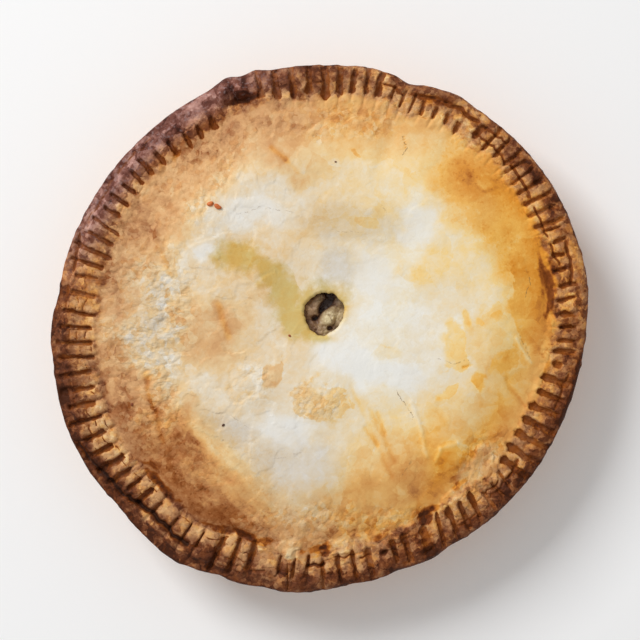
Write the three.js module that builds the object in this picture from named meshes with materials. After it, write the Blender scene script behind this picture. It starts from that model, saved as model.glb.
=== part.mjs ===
// A whole tourtiere: a two-crust meat pie, turned out of its tin.
// The lid is sealed to the base by fork marks pressed round the rim, and a round steam vent
// in the lid shows the filling. Millimetres, +Z up, with the origin under the middle of the pie.
import * as THREE from "three";

// Driving dimensions of the pie
const RIM_RADIUS = 117; // mean reach of the rim's outer edge
const BASE_RADIUS = 90; // of the tapered side wall, carried down to the table
const WALL_TOP_RADIUS = 106; // of the side wall where it meets the rim
const RIM_UNDERSIDE = 29.5; // height of the face that lay on the tin's flange
const RIM_TOP = 36.2; // height of the crimped band
const LID_RISE = 6.2; // how far the lid stands above the crimped band
const PASTRY = 4.2; // thickness of base, wall and lid
const VENT_RADIUS = 8.9;
const VENT_CENTRE = { x: 2.0, y: 6.8 };
const GAP = 0.3; // between the filling and the pastry round it

// Proportions that follow from those sizes
const EDGE_DROP = (RIM_TOP - RIM_UNDERSIDE) / 2; // the rim is widest at half its thickness
const EDGE_ROUND = 4.2; // how far in the rounded edge reaches
const CRIMP_WIDTH = 16; // outer edge to where the lid starts
const SHOULDER = 30; // width of the slope from the crimped band up to the flat of the lid
const BASE_FILLET = 6;
const VENT_LIP = 1.2; // rounding of the lid at the vent
const VENT_SAG = 0.8; // the soft lid hangs a little lower round the vent
const CAVITY_RADIUS = WALL_TOP_RADIUS - 1.5 * PASTRY; // top corner of the space for the filling
const CAVITY_BASE_RADIUS = BASE_RADIUS - PASTRY;

// The outer edge is uneven: waves round the whole rim as [waves, height, angle of a crest in degrees]
const EDGE_WAVES = [
  [1, 0.66, 100.5],
  [2, 3.1, 36],
  [3, 0.8, 3],
  [5, 0.4, -36],
];

// and places where the dough was pushed out or in, as [angle, half width in degrees, height]
const EDGE_BUMPS = [
  [11, 7, 0.9],
  [59, 3.2, 1.3],
  [69.5, 3, -2.6],
  [80, 3, 0.6],
  [104, 2.2, 1.4],
  [110.5, 3, 2.2],
  [142, 7, 0.4],
  [172, 5, -0.8],
  [181, 5, 0.9],
  [201, 9, 0.8],
  [221, 5, -1.4],
  [237, 4.5, 1.1],
  [248, 4, -1.4],
  [257, 3, -0.9],
  [265, 3.5, 0.6],
  [276, 3, -0.7],
  [288, 2, -0.9],
  [296, 3, 0.4],
  [301, 3, -0.6],
  [344, 18, -0.85],
];

// Each press of the fork as [first mark's angle, marks, degrees apart, outer end, inner end, width].
// The ends are measured inwards from the rim's edge.
const FORK_PRESSES = [
  [0.4, 4, 3.2, 5.5, 13, 2],
  [13.8, 2, 3.4, 9, 14, 2],
  [20.2, 2, 3, 4.2, 12, 1.9],
  [24.8, 4, 3.05, 2.5, 16, 2.4],
  [36.9, 2, 2.8, 3.5, 14.5, 1.8],
  [41.6, 3, 3.1, 1.2, 13, 2.4],
  [51, 1, 3, 4, 12.2, 3],
  [55.5, 4, 3.2, 8.3, 15, 2.2],
  [67.6, 3, 2.5, 4.5, 12, 1.7],
  [75.9, 4, 3.1, 0.3, 12.8, 2.7],
  [88.7, 5, 3.8, 0.5, 14.5, 2.7],
  [117.2, 2, 4.1, 11.2, 16.3, 2.2],
  [125, 3, 4.1, 10.2, 16.6, 1.6],
  [136.8, 5, 3.45, 7, 15.2, 2],
  [154.3, 4, 3.3, 3, 17, 2.3],
  [167.4, 2, 4.3, 6, 17, 2.2],
  [176.2, 4, 3.5, 3.5, 18.5, 2.2],
  [190.5, 4, 3.6, 3, 16.5, 2.5],
  [205.4, 4, 3.7, 3.5, 16.5, 3],
  [220, 2, 3.75, 8, 17, 2.5],
  [227.6, 1, 3, 11.5, 17.5, 1.9],
  [233.3, 3, 3.55, 11, 17.5, 1.4],
  [245.4, 2, 3.9, 2, 18.2, 2.6],
  [253.3, 1, 3, 6.5, 19, 2.5],
  [260.5, 3, 3.4, 7, 15.8, 1.7],
  [270.8, 4, 3.85, 1.5, 14.5, 2.2],
  [288.8, 2, 3.1, 3, 15.5, 2.6],
  [296.8, 1, 3, 3, 14, 4],
  [301.1, 4, 3.45, 2.5, 15, 2.3],
  [314.6, 3, 3.1, 3, 12.5, 1.8],
  [324.5, 4, 3.9, 1, 17, 2.7],
  [340.1, 3, 3.75, 1.5, 16.5, 2.8],
  [351.4, 1, 3, 8.5, 13, 2],
  [354.6, 2, 2.6, 4, 12.8, 2.2],
];
const FORK_DEPTH = 2.4;
const FORK_END = 1.6; // length over which a mark runs out at its ends

// The lid's cut edge lies on the base's edge, and a crack shows between them in places,
// as [angle, half width in degrees, depth]. Outside it the base's lip lies lower.
const SEAM_CRACKS = [
  [32, 16, 0.5],
  [148, 18, 1],
  [205, 12, 1],
  [228, 9, 2.3],
  [250, 10, 1],
];
const SEAM_PLACE = 5; // usual distance of that edge from the rim's outer edge
const SEAM_SWERVE = [229, 9, 5]; // where it runs further in, as [angle, half width, extra distance]
const SEAM_WIDTH = 1.1;
const LIP_DROP = 1.5;
const LIP_STRETCH = [192, 62]; // middle and half width, in degrees, of the stretch with a lower lip

// Lumps and hollows of the rim as [angle, half width in degrees, distance in, half width, height]
const RIM_FORMS = [
  [110, 4, 5, 4.5, 2.6], // knob of folded dough
  [109.5, 3.5, 12.5, 1.8, -2], // hollow under the knob's inner side
  [62, 5, 4.5, 3.5, 1.2], // rough swelling
  [227, 6, 20, 3, -1.6], // troughs between the crimped band and the lid
  [247, 6, 20, 3, -1.6],
  [262, 2.2, 12, 4, 1.3], // lifted flakes
  [276, 3, 14, 3, 0.9],
  [309, 5, 15.5, 3, 1],
];

// Swellings and sags of the lid as [x, y, half width, height]
const LID_FORMS = [
  [-14, 14, 15, -1.3],
  [-38, 34, 12, -0.8],
  [0, -31, 11, 1.1],
  [-30, -24, 10, 0.8],
  [60, 2, 16, 0.8],
  [78, -12, 9, 0.9],
  [58, -56, 9, 1.3],
  [66, 66, 14, 0.7],
  [-80, 4, 14, 0.9],
  [-76, -36, 12, 0.8],
  [-20, 70, 16, 0.6],
  [24, -74, 16, 0.6],
];

// Pieces of meat and potato under the vent, and the gaps between them, as [x, y, half width, height]
const FILLING_DEPTH = 2.6; // how far the filling lies under the lid there
const FILLING_LUMPS = [
  [-5, 1.5, 3.2, 1.6],
  [2.2, -2.4, 3.4, 1.9],
  [6.8, -0.5, 2.4, 1],
  [-2, -7, 2.6, 1.2],
  [1.2, 4.6, 2.6, -3],
  [-4.2, -3, 1.6, -2],
];

// How finely each stretch is divided
const WALL_STEPS = 96;
const VENT_STEPS = 48;
const WIDEST_RIM_STEP = 2; // degrees
const LID_RINGS = 11;
const UNDER_RINGS = 3;
const FILLING_RINGS = 4;

const DEGREE = Math.PI / 180;
const MARKS = FORK_PRESSES.flatMap(pressMarks);

// The marks that one press of the fork leaves
function pressMarks([first, count, pitch, outer, inner, width]) {
  return Array.from({ length: count }, (_, tine) => ({ angle: first + tine * pitch, outer, inner, width }));
}

// 0 before one value, 1 after the other, and a soft S between them
function soften(from, to, value) {
  const share = THREE.MathUtils.clamp((value - from) / (to - from), 0, 1);
  return share * share * (3 - 2 * share);
}

// A bell: 1 in the middle, falling to about a third at one half width
function bell(distance) {
  return Math.exp(-distance * distance);
}

// The shorter way round from one angle to another, in degrees
function turn(from, to) {
  return ((((to - from) % 360) + 540) % 360) - 180;
}

// How far the rim reaches from the middle at an angle
function outline(angle) {
  let reach = RIM_RADIUS;
  for (const [waves, height, crest] of EDGE_WAVES) {
    reach += height * Math.cos(waves * (angle - crest) * DEGREE);
  }
  for (const [middle, half, height] of EDGE_BUMPS) {
    reach += height * bell(turn(middle, angle) / half);
  }
  return reach;
}

// Distance of the lid's cut edge from the rim's outer edge
function seamPlace(angle) {
  const [middle, half, extra] = SEAM_SWERVE;
  return SEAM_PLACE + extra * bell(turn(middle, angle) / half);
}

// Depth of the fork marks at a place on the rim, where inward is the distance from the outer edge
function forkDepth(angle, inward) {
  const arc = (outline(angle) - inward) * DEGREE;
  let deepest = 0;
  for (const mark of MARKS) {
    const across = (2 * Math.abs(turn(mark.angle, angle)) * arc) / mark.width;
    const start = soften(mark.outer - FORK_END, mark.outer + FORK_END, inward);
    const end = soften(mark.inner + FORK_END, mark.inner - FORK_END, inward);
    deepest = Math.max(deepest, FORK_DEPTH * (1 - soften(0.3, 1.2, across)) * start * end);
  }
  return deepest;
}

// Height of the crimped band, from its rounded outer edge to the lid
function rimHeight(angle, inward) {
  const curl = THREE.MathUtils.clamp(1 - inward / EDGE_ROUND, 0, 1);
  const seam = seamPlace(angle);
  const lip = 1 - soften(LIP_STRETCH[1] - 12, LIP_STRETCH[1] + 12, Math.abs(turn(LIP_STRETCH[0], angle)));
  let height = RIM_TOP - EDGE_DROP * (1 - Math.sqrt(1 - curl * curl));
  height -= LIP_DROP * lip * soften(0, 2, inward) * soften(seam + SEAM_WIDTH, seam - SEAM_WIDTH, inward);
  for (const [middle, half, depth] of SEAM_CRACKS) {
    height -= depth * bell(turn(middle, angle) / half) * bell((inward - seam) / (0.6 * SEAM_WIDTH));
  }
  for (const [middle, half, place, reach, rise] of RIM_FORMS) {
    height += rise * bell(turn(middle, angle) / half) * bell((inward - place) / reach);
  }
  return height - forkDepth(angle, inward);
}

// Rise of the smooth lid above the crimped band
function dome(inward) {
  return LID_RISE * soften(CRIMP_WIDTH - 3, CRIMP_WIDTH + SHOULDER, inward);
}

// Height of the pie's upper side at any place
function topHeight(x, y) {
  const angle = Math.atan2(y, x) / DEGREE;
  const inward = outline(angle) - Math.hypot(x, y);
  const onLid = soften(CRIMP_WIDTH, CRIMP_WIDTH + 8, inward);
  let height = rimHeight(angle, inward) + dome(inward);
  for (const [formX, formY, half, rise] of LID_FORMS) {
    height += onLid * rise * bell(Math.hypot(x - formX, y - formY) / half);
  }
  return height;
}

// Height of the lid's smooth underside
function lidUnderside(x, y) {
  const inward = outline(Math.atan2(y, x) / DEGREE) - Math.hypot(x, y);
  const nearVent = bell(Math.hypot(x - VENT_CENTRE.x, y - VENT_CENTRE.y) / (3 * VENT_RADIUS));
  return RIM_TOP + dome(inward) - PASTRY - VENT_SAG * nearVent;
}

// Equal steps round the pie
function evenAngles(count) {
  return Array.from({ length: count }, (_, step) => (360 * step) / count);
}

// Steps round the rim: at the middle and both sides of each fork mark, and on the ridges between
function rimAngles() {
  const angles = [];
  MARKS.forEach((mark, index) => {
    const half = mark.width / 2 / (RIM_RADIUS * DEGREE);
    const next = MARKS[(index + 1) % MARKS.length];
    const ridgeStart = mark.angle + half;
    const ridge = ((next.angle - next.width / 2 / (RIM_RADIUS * DEGREE) - ridgeStart) % 360 + 360) % 360;
    const parts = Math.max(2, Math.ceil(ridge / WIDEST_RIM_STEP));
    angles.push(mark.angle - half, mark.angle, ridgeStart);
    for (let part = 1; part < parts; part += 1) {
      angles.push(ridgeStart + (ridge * part) / parts);
    }
  });
  return angles.map((angle) => (angle + 360) % 360).sort((a, b) => a - b);
}

// A closed skin made of rings of points, each joined to the one before it.
// The rings run from a pole under the body, up its outside and over its top to another pole.
class RingSkin {
  constructor() {
    this.points = [];
    this.triangles = [];
    this.last = null;
  }

  // A ring whose points place(angle) gives; a single angle makes a pole
  ring(angles, place) {
    const start = this.points.length;
    this.points.push(...angles.map(place));
    const made = { start, angles };
    if (this.last) {
      this.join(this.last, made);
    }
    this.last = made;
    return this;
  }

  // Walks round two rings at once, always stepping on along the one that lies behind
  join(lower, upper) {
    const at = (ring, step) => ring.start + (step % ring.angles.length);
    const ahead = (ring, step) =>
      ring.angles[(step + 1) % ring.angles.length] + (step + 1 >= ring.angles.length ? 360 : 0);
    const lowerSteps = lower.angles.length > 1 ? lower.angles.length : 0;
    const upperSteps = upper.angles.length > 1 ? upper.angles.length : 0;
    let low = 0;
    let up = 0;
    while (low < lowerSteps || up < upperSteps) {
      const stepLow = up >= upperSteps || (low < lowerSteps && ahead(lower, low) <= ahead(upper, up));
      if (stepLow) {
        this.triangles.push(at(lower, low), at(lower, low + 1), at(upper, up));
        low += 1;
      } else {
        this.triangles.push(at(lower, low), at(upper, up + 1), at(upper, up));
        up += 1;
      }
    }
  }

  geometry() {
    const made = new THREE.BufferGeometry();
    made.setAttribute("position", new THREE.Float32BufferAttribute(this.points.flat(), 3));
    made.setIndex(this.triangles);
    made.computeVertexNormals();
    return made;
  }
}

// A point at an angle and radius about the middle of the pie
function polar(angle, radius, height) {
  return [radius * Math.cos(angle * DEGREE), radius * Math.sin(angle * DEGREE), height];
}

// A place on the lid: share 0 is the vent's edge, grown outwards by grow, and share 1 the crimped band
function lidPlace(angle, share, grow = 0) {
  const outer = outline(angle) - CRIMP_WIDTH;
  const vent = VENT_RADIUS + grow;
  const cos = Math.cos(angle * DEGREE);
  const sin = Math.sin(angle * DEGREE);
  const x = THREE.MathUtils.lerp(VENT_CENTRE.x + vent * cos, outer * cos, share);
  const y = THREE.MathUtils.lerp(VENT_CENTRE.y + vent * sin, outer * sin, share);
  return { x, y };
}

// The same between the vent and the top corner of the space for the filling
function underPlace(angle, share, inset) {
  const cos = Math.cos(angle * DEGREE);
  const sin = Math.sin(angle * DEGREE);
  const outer = CAVITY_RADIUS - inset;
  const x = THREE.MathUtils.lerp(VENT_CENTRE.x + VENT_RADIUS * cos, outer * cos, share);
  const y = THREE.MathUtils.lerp(VENT_CENTRE.y + VENT_RADIUS * sin, outer * sin, share);
  return { x, y };
}

// Flat base, rounded corner, tapered wall and the flat underside of the rim
function addOutside(skin, angles) {
  const slope = (WALL_TOP_RADIUS - BASE_RADIUS) / RIM_UNDERSIDE;
  const wall = (height) => BASE_RADIUS + slope * height;
  const wallTop = RIM_UNDERSIDE - 2;
  const corner = 0.3 * BASE_FILLET;
  skin.ring([0], () => [0, 0, 0]);
  skin.ring(angles, (angle) => polar(angle, BASE_RADIUS - BASE_FILLET, 0));
  skin.ring(angles, (angle) => polar(angle, wall(corner) - corner, corner));
  skin.ring(angles, (angle) => polar(angle, wall(BASE_FILLET), BASE_FILLET));
  skin.ring(angles, (angle) => polar(angle, wall(wallTop), wallTop));
  skin.ring(angles, (angle) => polar(angle, WALL_TOP_RADIUS + 2, RIM_UNDERSIDE));
  skin.ring(angles, (angle) => polar(angle, outline(angle) - 0.6 * EDGE_ROUND, RIM_UNDERSIDE));
  skin.ring(angles, (angle) => polar(angle, outline(angle) - 0.8, RIM_UNDERSIDE + 0.4 * EDGE_DROP));
}

// Rounded outer edge and the fork-marked band, with three rings that follow the lid's cut edge
function addRim(skin, angles) {
  const places = [
    () => 0,
    () => 1,
    (angle) => seamPlace(angle) - SEAM_WIDTH,
    (angle) => seamPlace(angle),
    (angle) => seamPlace(angle) + SEAM_WIDTH,
    (angle) => THREE.MathUtils.lerp(seamPlace(angle) + SEAM_WIDTH, CRIMP_WIDTH, 0.45),
    () => CRIMP_WIDTH - 1.5,
  ];
  for (const inwardAt of places) {
    skin.ring(angles, (angle) => {
      const inward = inwardAt(angle);
      const radius = outline(angle) - inward;
      const [x, y] = polar(angle, radius, 0);
      return [x, y, topHeight(x, y)];
    });
  }
}

// Upper side of the lid, from the crimped band in to the rounded lip of the vent
function addLid(skin, angles) {
  const onTop = ({ x, y }, drop = 0) => [x, y, topHeight(x, y) - drop];
  for (let ring = 0; ring < LID_RINGS; ring += 1) {
    const share = (1 - ring / LID_RINGS) ** 0.85;
    skin.ring(angles, (angle) => onTop(lidPlace(angle, share)));
  }
  const ventAngles = evenAngles(VENT_STEPS);
  skin.ring(ventAngles, (angle) => onTop(lidPlace(angle, 0, VENT_LIP)));
  skin.ring(ventAngles, (angle) => onTop(lidPlace(angle, 0), 0.8 * VENT_LIP));
}

// Underside of the lid, inner wall and inner floor
function addCavity(skin) {
  const angles = evenAngles(VENT_STEPS);
  for (let ring = 0; ring <= UNDER_RINGS; ring += 1) {
    skin.ring(angles, (angle) => {
      const { x, y } = underPlace(angle, ring / UNDER_RINGS, 0);
      return [x, y, lidUnderside(x, y)];
    });
  }
  skin.ring(angles, (angle) => polar(angle, CAVITY_BASE_RADIUS, PASTRY));
  skin.ring([0], () => [0, 0, PASTRY]);
}

function crustGeometry() {
  const skin = new RingSkin();
  addOutside(skin, evenAngles(WALL_STEPS));
  addRim(skin, rimAngles());
  addLid(skin, evenAngles(WALL_STEPS));
  addCavity(skin);
  return skin.geometry();
}

// Height of the filling where it shows in the vent
function fillingHeight(x, y) {
  let height = lidUnderside(VENT_CENTRE.x, VENT_CENTRE.y) - FILLING_DEPTH;
  for (const [lumpX, lumpY, half, rise] of FILLING_LUMPS) {
    height += rise * bell(Math.hypot(x - VENT_CENTRE.x - lumpX, y - VENT_CENTRE.y - lumpY) / half);
  }
  return height;
}

// The filling takes up the whole space inside the pastry, and is lumpy where the vent shows it
function fillingGeometry() {
  const skin = new RingSkin();
  const angles = evenAngles(VENT_STEPS);
  skin.ring([0], () => [0, 0, PASTRY + GAP]);
  skin.ring(angles, (angle) => polar(angle, CAVITY_BASE_RADIUS - GAP, PASTRY + GAP));
  for (let ring = UNDER_RINGS; ring >= 1; ring -= 1) {
    skin.ring(angles, (angle) => {
      const { x, y } = underPlace(angle, ring / UNDER_RINGS, GAP);
      return [x, y, lidUnderside(x, y) - GAP];
    });
  }
  for (let ring = FILLING_RINGS; ring >= 1; ring -= 1) {
    const radius = (1.1 * VENT_RADIUS * ring) / FILLING_RINGS;
    skin.ring(angles, (angle) => {
      const x = VENT_CENTRE.x + radius * Math.cos(angle * DEGREE);
      const y = VENT_CENTRE.y + radius * Math.sin(angle * DEGREE);
      return [x, y, fillingHeight(x, y)];
    });
  }
  const { x, y } = VENT_CENTRE;
  skin.ring([0], () => [x, y, fillingHeight(x, y)]);
  return skin.geometry();
}

const bakedPastry = new THREE.MeshStandardMaterial({ color: "#c8935a", roughness: 0.75, metalness: 0 });
const cookedMeat = new THREE.MeshStandardMaterial({ color: "#6b5440", roughness: 0.6, metalness: 0 });

const crust = new THREE.Mesh(crustGeometry(), bakedPastry);
crust.name = "crust";
const filling = new THREE.Mesh(fillingGeometry(), cookedMeat);
filling.name = "filling";

const tourtiere = new THREE.Group();
tourtiere.add(crust, filling);

export default tourtiere;
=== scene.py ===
# %% [markdown]
# A tourtiere seen from straight above: a meat pie with two crusts, turned out of its tin.
# The lid is pressed on to the base with a fork, so the whole look of the pie lives in three things:
# the ring of fork marks, the uneven browning, and the small vent that shows the meat.
# Each is made here from a few named sizes, so a change of a size changes the pie.

import math

import bpy
import numpy as np
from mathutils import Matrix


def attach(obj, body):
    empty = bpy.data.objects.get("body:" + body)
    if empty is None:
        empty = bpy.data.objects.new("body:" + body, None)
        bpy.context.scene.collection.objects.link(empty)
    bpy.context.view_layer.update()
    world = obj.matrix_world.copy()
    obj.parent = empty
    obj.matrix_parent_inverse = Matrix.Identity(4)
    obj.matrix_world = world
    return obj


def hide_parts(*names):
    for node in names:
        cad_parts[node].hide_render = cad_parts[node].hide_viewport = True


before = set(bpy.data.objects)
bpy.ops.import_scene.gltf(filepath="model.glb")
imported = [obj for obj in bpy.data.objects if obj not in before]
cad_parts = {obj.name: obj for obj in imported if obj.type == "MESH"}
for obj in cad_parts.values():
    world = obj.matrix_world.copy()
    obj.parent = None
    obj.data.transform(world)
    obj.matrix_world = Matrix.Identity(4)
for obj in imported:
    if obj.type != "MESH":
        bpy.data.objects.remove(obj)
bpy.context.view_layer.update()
MM = 0.001  # shapes are worked out in millimetres
print("nodes:", sorted(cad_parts))

# %% [markdown]
# The sizes are those of a pie baked in a 9 inch tin. Angles run anticlockwise from the right of
# the picture, in degrees. The word inward always means the distance from the rim's outer edge.

# %% Sizes of the pie
RIM_RADIUS = 117.0
BASE_RADIUS = 90.0
WALL_TOP_RADIUS = 106.0
RIM_UNDERSIDE = 29.5
RIM_TOP = 36.2
LID_RISE = 6.2
PASTRY = 4.2
VENT_RADIUS = 8.9
VENT_X, VENT_Y = 2.0, 6.8
GAP = 0.3

EDGE_DROP = (RIM_TOP - RIM_UNDERSIDE) / 2
EDGE_ROUND = 4.2
CRIMP_WIDTH = 16.0
SHOULDER = 30.0
BASE_FILLET = 6.0
VENT_LIP = 1.2
VENT_SAG = 0.8
CAVITY_RADIUS = WALL_TOP_RADIUS - 1.5 * PASTRY
CAVITY_BASE_RADIUS = BASE_RADIUS - PASTRY
print("rim across:", 2 * RIM_RADIUS, "mm, height of the crimped band:", RIM_TOP, "mm")

# %% [markdown]
# A few small functions do all the shaping. A soft step turns one form into another, a bell makes a
# lump, and lattice noise gives the unevenness of dough. The noise blends values hashed from whole
# numbers, so it is the same at every run and needs no stored picture.

# %% Soft steps and hills


def soften(low, high, value):
    """0 up to low, 1 from high on, and a soft S between. With low above high it falls instead."""
    share = np.clip((value - low) / (high - low), 0.0, 1.0)
    return share * share * (3.0 - 2.0 * share)


def bell(distance):
    """1 in the middle, about a third at distance 1, and soon 0."""
    return np.exp(-distance * distance)


def turn(start, end):
    """The shorter way round from one angle to another, in degrees."""
    return (end - start + 180.0) % 360.0 - 180.0


def hashed(column, row, seed):
    """A number from 0 to 1 for each whole-number point: the fraction of a large sine."""
    wave = np.sin(column * 127.1 + row * 311.7 + seed * 74.7) * 43758.5453
    return wave - np.floor(wave)


def hills(x, y, seed):
    """Smooth hills one unit wide, from -1 to 1: hashed corner values blended across each square."""
    column, row = np.floor(x), np.floor(y)
    across, up = soften(0, 1, x - column), soften(0, 1, y - row)
    low = hashed(column, row, seed) * (1 - across) + hashed(column + 1, row, seed) * across
    high = hashed(column, row + 1, seed) * (1 - across) + hashed(column + 1, row + 1, seed) * across
    return 2.0 * (low * (1 - up) + high * up) - 1.0


def rough(x, y, size, seed, layers=4):
    """Layers of hills, each half as wide and half as high as the one before."""
    total = np.zeros_like(x)
    for layer in range(layers):
        fine = 2.0**layer
        total += hills(x * fine / size, y * fine / size, seed + layer) / fine
    return total


print("a soft step from 0 to 1:", soften(0, 1, np.linspace(0, 1, 5)).round(2))

# %% [markdown]
# Crumbs lie side by side, each with its own size and tilt. Cells round scattered points look like
# that, and need no more than the distance to the nearest two of the points.

# %% Packed cells


def packed(x, y, size, seed):
    """Cells round jittered lattice points: how far the nearest point is, how much further the next one
    is, and the height of a plane through the nearest with a random slope, all in cells."""
    x, y = x / size, y / size
    column, row = np.floor(x), np.floor(y)
    nearest, second, plane = np.full_like(x, 9.0), np.full_like(x, 9.0), np.zeros_like(x)
    for step_x in (-1, 0, 1):
        for step_y in (-1, 0, 1):
            cell = (column + step_x, row + step_y)
            away_x, away_y = x - cell[0] - hashed(*cell, seed), y - cell[1] - hashed(*cell, seed + 5)
            slope_x, slope_y = hashed(*cell, seed + 7) - 0.5, hashed(*cell, seed + 9) - 0.5
            distance = np.hypot(away_x, away_y)
            closer = distance < nearest
            second = np.where(closer, nearest, np.minimum(second, distance))
            plane = np.where(closer, away_x * slope_x + away_y * slope_y, plane)
            nearest = np.where(closer, distance, nearest)
    return nearest, second - nearest, plane


def pebbles(x, y, size, seed):
    """Rounded lumps packed side by side: 1 at each jittered lattice point, falling off between them."""
    return np.clip(1.0 - packed(x, y, size, seed)[0] ** 2, 0.0, 1.0)


print("pebbles along a line:", pebbles(np.arange(5.0), np.zeros(5), 2.0, 1).round(2))

# %% [markdown]
# The outline of the rim is a circle with a few slow waves and short bumps, because the dough was
# trimmed by hand. A little raggedness a few millimetres long is added for the torn, flaky edge.

# %% Outline of the rim
# waves of the outer edge: waves round the rim, height, angle of a crest
EDGE_WAVES = [(1, 0.66, 100.5), (2, 3.1, 36), (3, 0.8, 3), (5, 0.4, -36)]

# places where the dough was pushed out or in: angle, half width, height
EDGE_BUMPS = [
    (11, 7, 0.9), (59, 3.2, 1.3), (69.5, 3, -2.6), (80, 3, 0.6), (104, 2.2, 1.4), (110.5, 3, 2.2),
    (142, 7, 0.4), (172, 5, -0.8), (181, 5, 0.9), (201, 9, 0.8), (221, 5, -1.4), (237, 4.5, 1.1),
    (248, 4, -1.4), (257, 3, -0.9), (265, 3.5, 0.6), (276, 3, -0.7), (288, 2, -0.9), (296, 3, 0.4),
    (301, 3, -0.6), (344, 18, -0.85),
]


def outline(angle):
    """How far the rim reaches: the mean radius plus cosine waves plus bells."""
    reach = np.full_like(angle, RIM_RADIUS)
    for waves, height, crest in EDGE_WAVES:
        reach += height * np.cos(waves * np.radians(angle - crest))
    for middle, half, height in EDGE_BUMPS:
        reach += height * bell(turn(middle, angle) / half)
    return reach


def ragged_outline(angle):
    """The outline with small hills, read round a circle so that they close up."""
    turned = np.radians(angle)
    ring_x, ring_y = RIM_RADIUS * np.cos(turned), RIM_RADIUS * np.sin(turned)
    return outline(angle) + 0.35 * rough(ring_x, ring_y, 4.0, 11, 2)


REACH = outline(np.arange(360.0))
print("the rim reaches from", REACH.min().round(1), "to", REACH.max().round(1), "mm")

# %% [markdown]
# A fork press is one push of a fork: it leaves a few marks side by side, which is why the marks
# come in groups with gaps between them. Marks could be cut out of the crust one by one. Grooves in
# the height of the dough are simpler, and their edges can be as ragged as real ones.

# %% Fork marks
# fork presses: first mark's angle, marks, degrees apart, outer end, inner end, width,
# sideways lean towards the inner end, widening at the inner end, darkness
FORK_PRESSES = [
    (0.4, 4, 3.2, 5.5, 13, 2.0, 0.2, 0.5, 0.9), (13.8, 2, 3.4, 9, 14, 2.0, 0.5, 0.2, 0.85),
    (20.2, 2, 3.0, 4.2, 12, 1.9, 0.3, 0.0, 0.65), (24.8, 4, 3.05, 2.5, 16, 2.1, 0.9, 0.3, 0.5),
    (36.9, 2, 2.8, 3.5, 14.5, 1.8, 0.6, 0.2, 0.5), (41.6, 3, 3.1, 1.2, 13, 2.2, 0.5, 0.3, 0.7),
    (51, 1, 3, 4, 12.2, 3.0, 0.4, 0.2, 0.9), (55.5, 4, 3.2, 8.3, 15, 2.2, 0.2, 0.3, 0.65),
    (67.6, 3, 2.5, 4.5, 12, 1.7, 0.2, 0.0, 0.6), (75.9, 4, 3.1, 0.3, 12.8, 2.7, 0.4, 0.3, 0.9),
    (88.7, 5, 3.8, 0.5, 14.5, 2.7, -0.3, 0.6, 0.9), (117.2, 2, 4.1, 11.2, 16.3, 2.0, 0.2, 0.9, 1.3),
    (125, 3, 4.1, 10.2, 16.6, 1.7, 0.2, 0.9, 1.3), (136.8, 5, 3.45, 7.0, 15.6, 1.8, 0.6, 0.4, 1.3),
    (154.3, 4, 3.3, 3.0, 18.6, 2.3, 1.6, 0.4, 1.15), (167.4, 2, 4.3, 6, 17, 2.2, 0.0, 0.0, 0.45),
    (176.2, 4, 3.5, 3.5, 18.5, 2.2, 1.2, 0.2, 0.8), (190.5, 4, 3.6, 3, 16.5, 2.5, 0.8, 0.0, 0.9),
    (205.4, 4, 3.7, 3.5, 16.5, 3.0, 0.3, 0.0, 0.95), (220, 2, 3.75, 8, 17, 2.5, 0.0, 0.0, 0.9),
    (227.6, 1, 3, 11.5, 17.5, 1.9, 0.0, 0.0, 0.85), (233.3, 3, 3.55, 11, 17.5, 1.4, 0.2, 0.0, 0.8),
    (245.4, 2, 3.9, 2, 18.2, 2.6, 0.4, 0.0, 0.9), (253.3, 1, 3, 6.5, 19, 2.5, 0.8, 0.0, 0.9),
    (260.5, 3, 3.4, 7, 15.8, 1.7, 0.8, 0.0, 0.6), (270.8, 4, 3.85, 1.5, 14.5, 2.2, 0.3, 0.2, 0.75),
    (288.8, 2, 3.1, 3, 15.5, 2.6, 0.3, 0.6, 0.75), (296.8, 1, 3, 3, 14, 4.0, 1.5, 0.0, 0.9),
    (301.1, 4, 3.45, 2.5, 15, 2.3, 3.8, 0.2, 0.85), (314.6, 3, 3.1, 3, 12.5, 1.8, 2.0, 0.0, 0.55),
    (324.5, 4, 3.9, 1, 17, 2.7, 0.3, 0.8, 0.85), (340.1, 3, 3.75, 1.5, 16.5, 2.8, 0.9, 0.6, 0.9),
    (351.4, 1, 3, 8.5, 13, 2.0, 0.0, 0.4, 0.8), (354.6, 2, 2.6, 4, 12.8, 2.2, 0.0, 0.4, 0.8),
]

FORK_DEPTH = 1.7

MARKS = np.array(
    [
        (first + tine * apart, *shape)
        for first, count, apart, *shape in FORK_PRESSES
        for tine in range(count)
    ]
)

MARK_NUMBER = np.arange(len(MARKS))
MARKS[:, 1] += 2.4 * hashed(MARK_NUMBER, 4.0, 1) - 1.2
MARKS[:, 2] += 2.0 * hashed(MARK_NUMBER, 6.0, 1) - 1.0
MARKS[:, 3] *= 0.75 + 0.45 * hashed(MARK_NUMBER, 7.0, 1)
MARKS[:, 4] += 1.4 * hashed(MARK_NUMBER, 3.0, 1) - 0.7
MARKS[:, 6] *= 0.75 + 0.35 * hashed(MARK_NUMBER, 8.0, 1)


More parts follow.
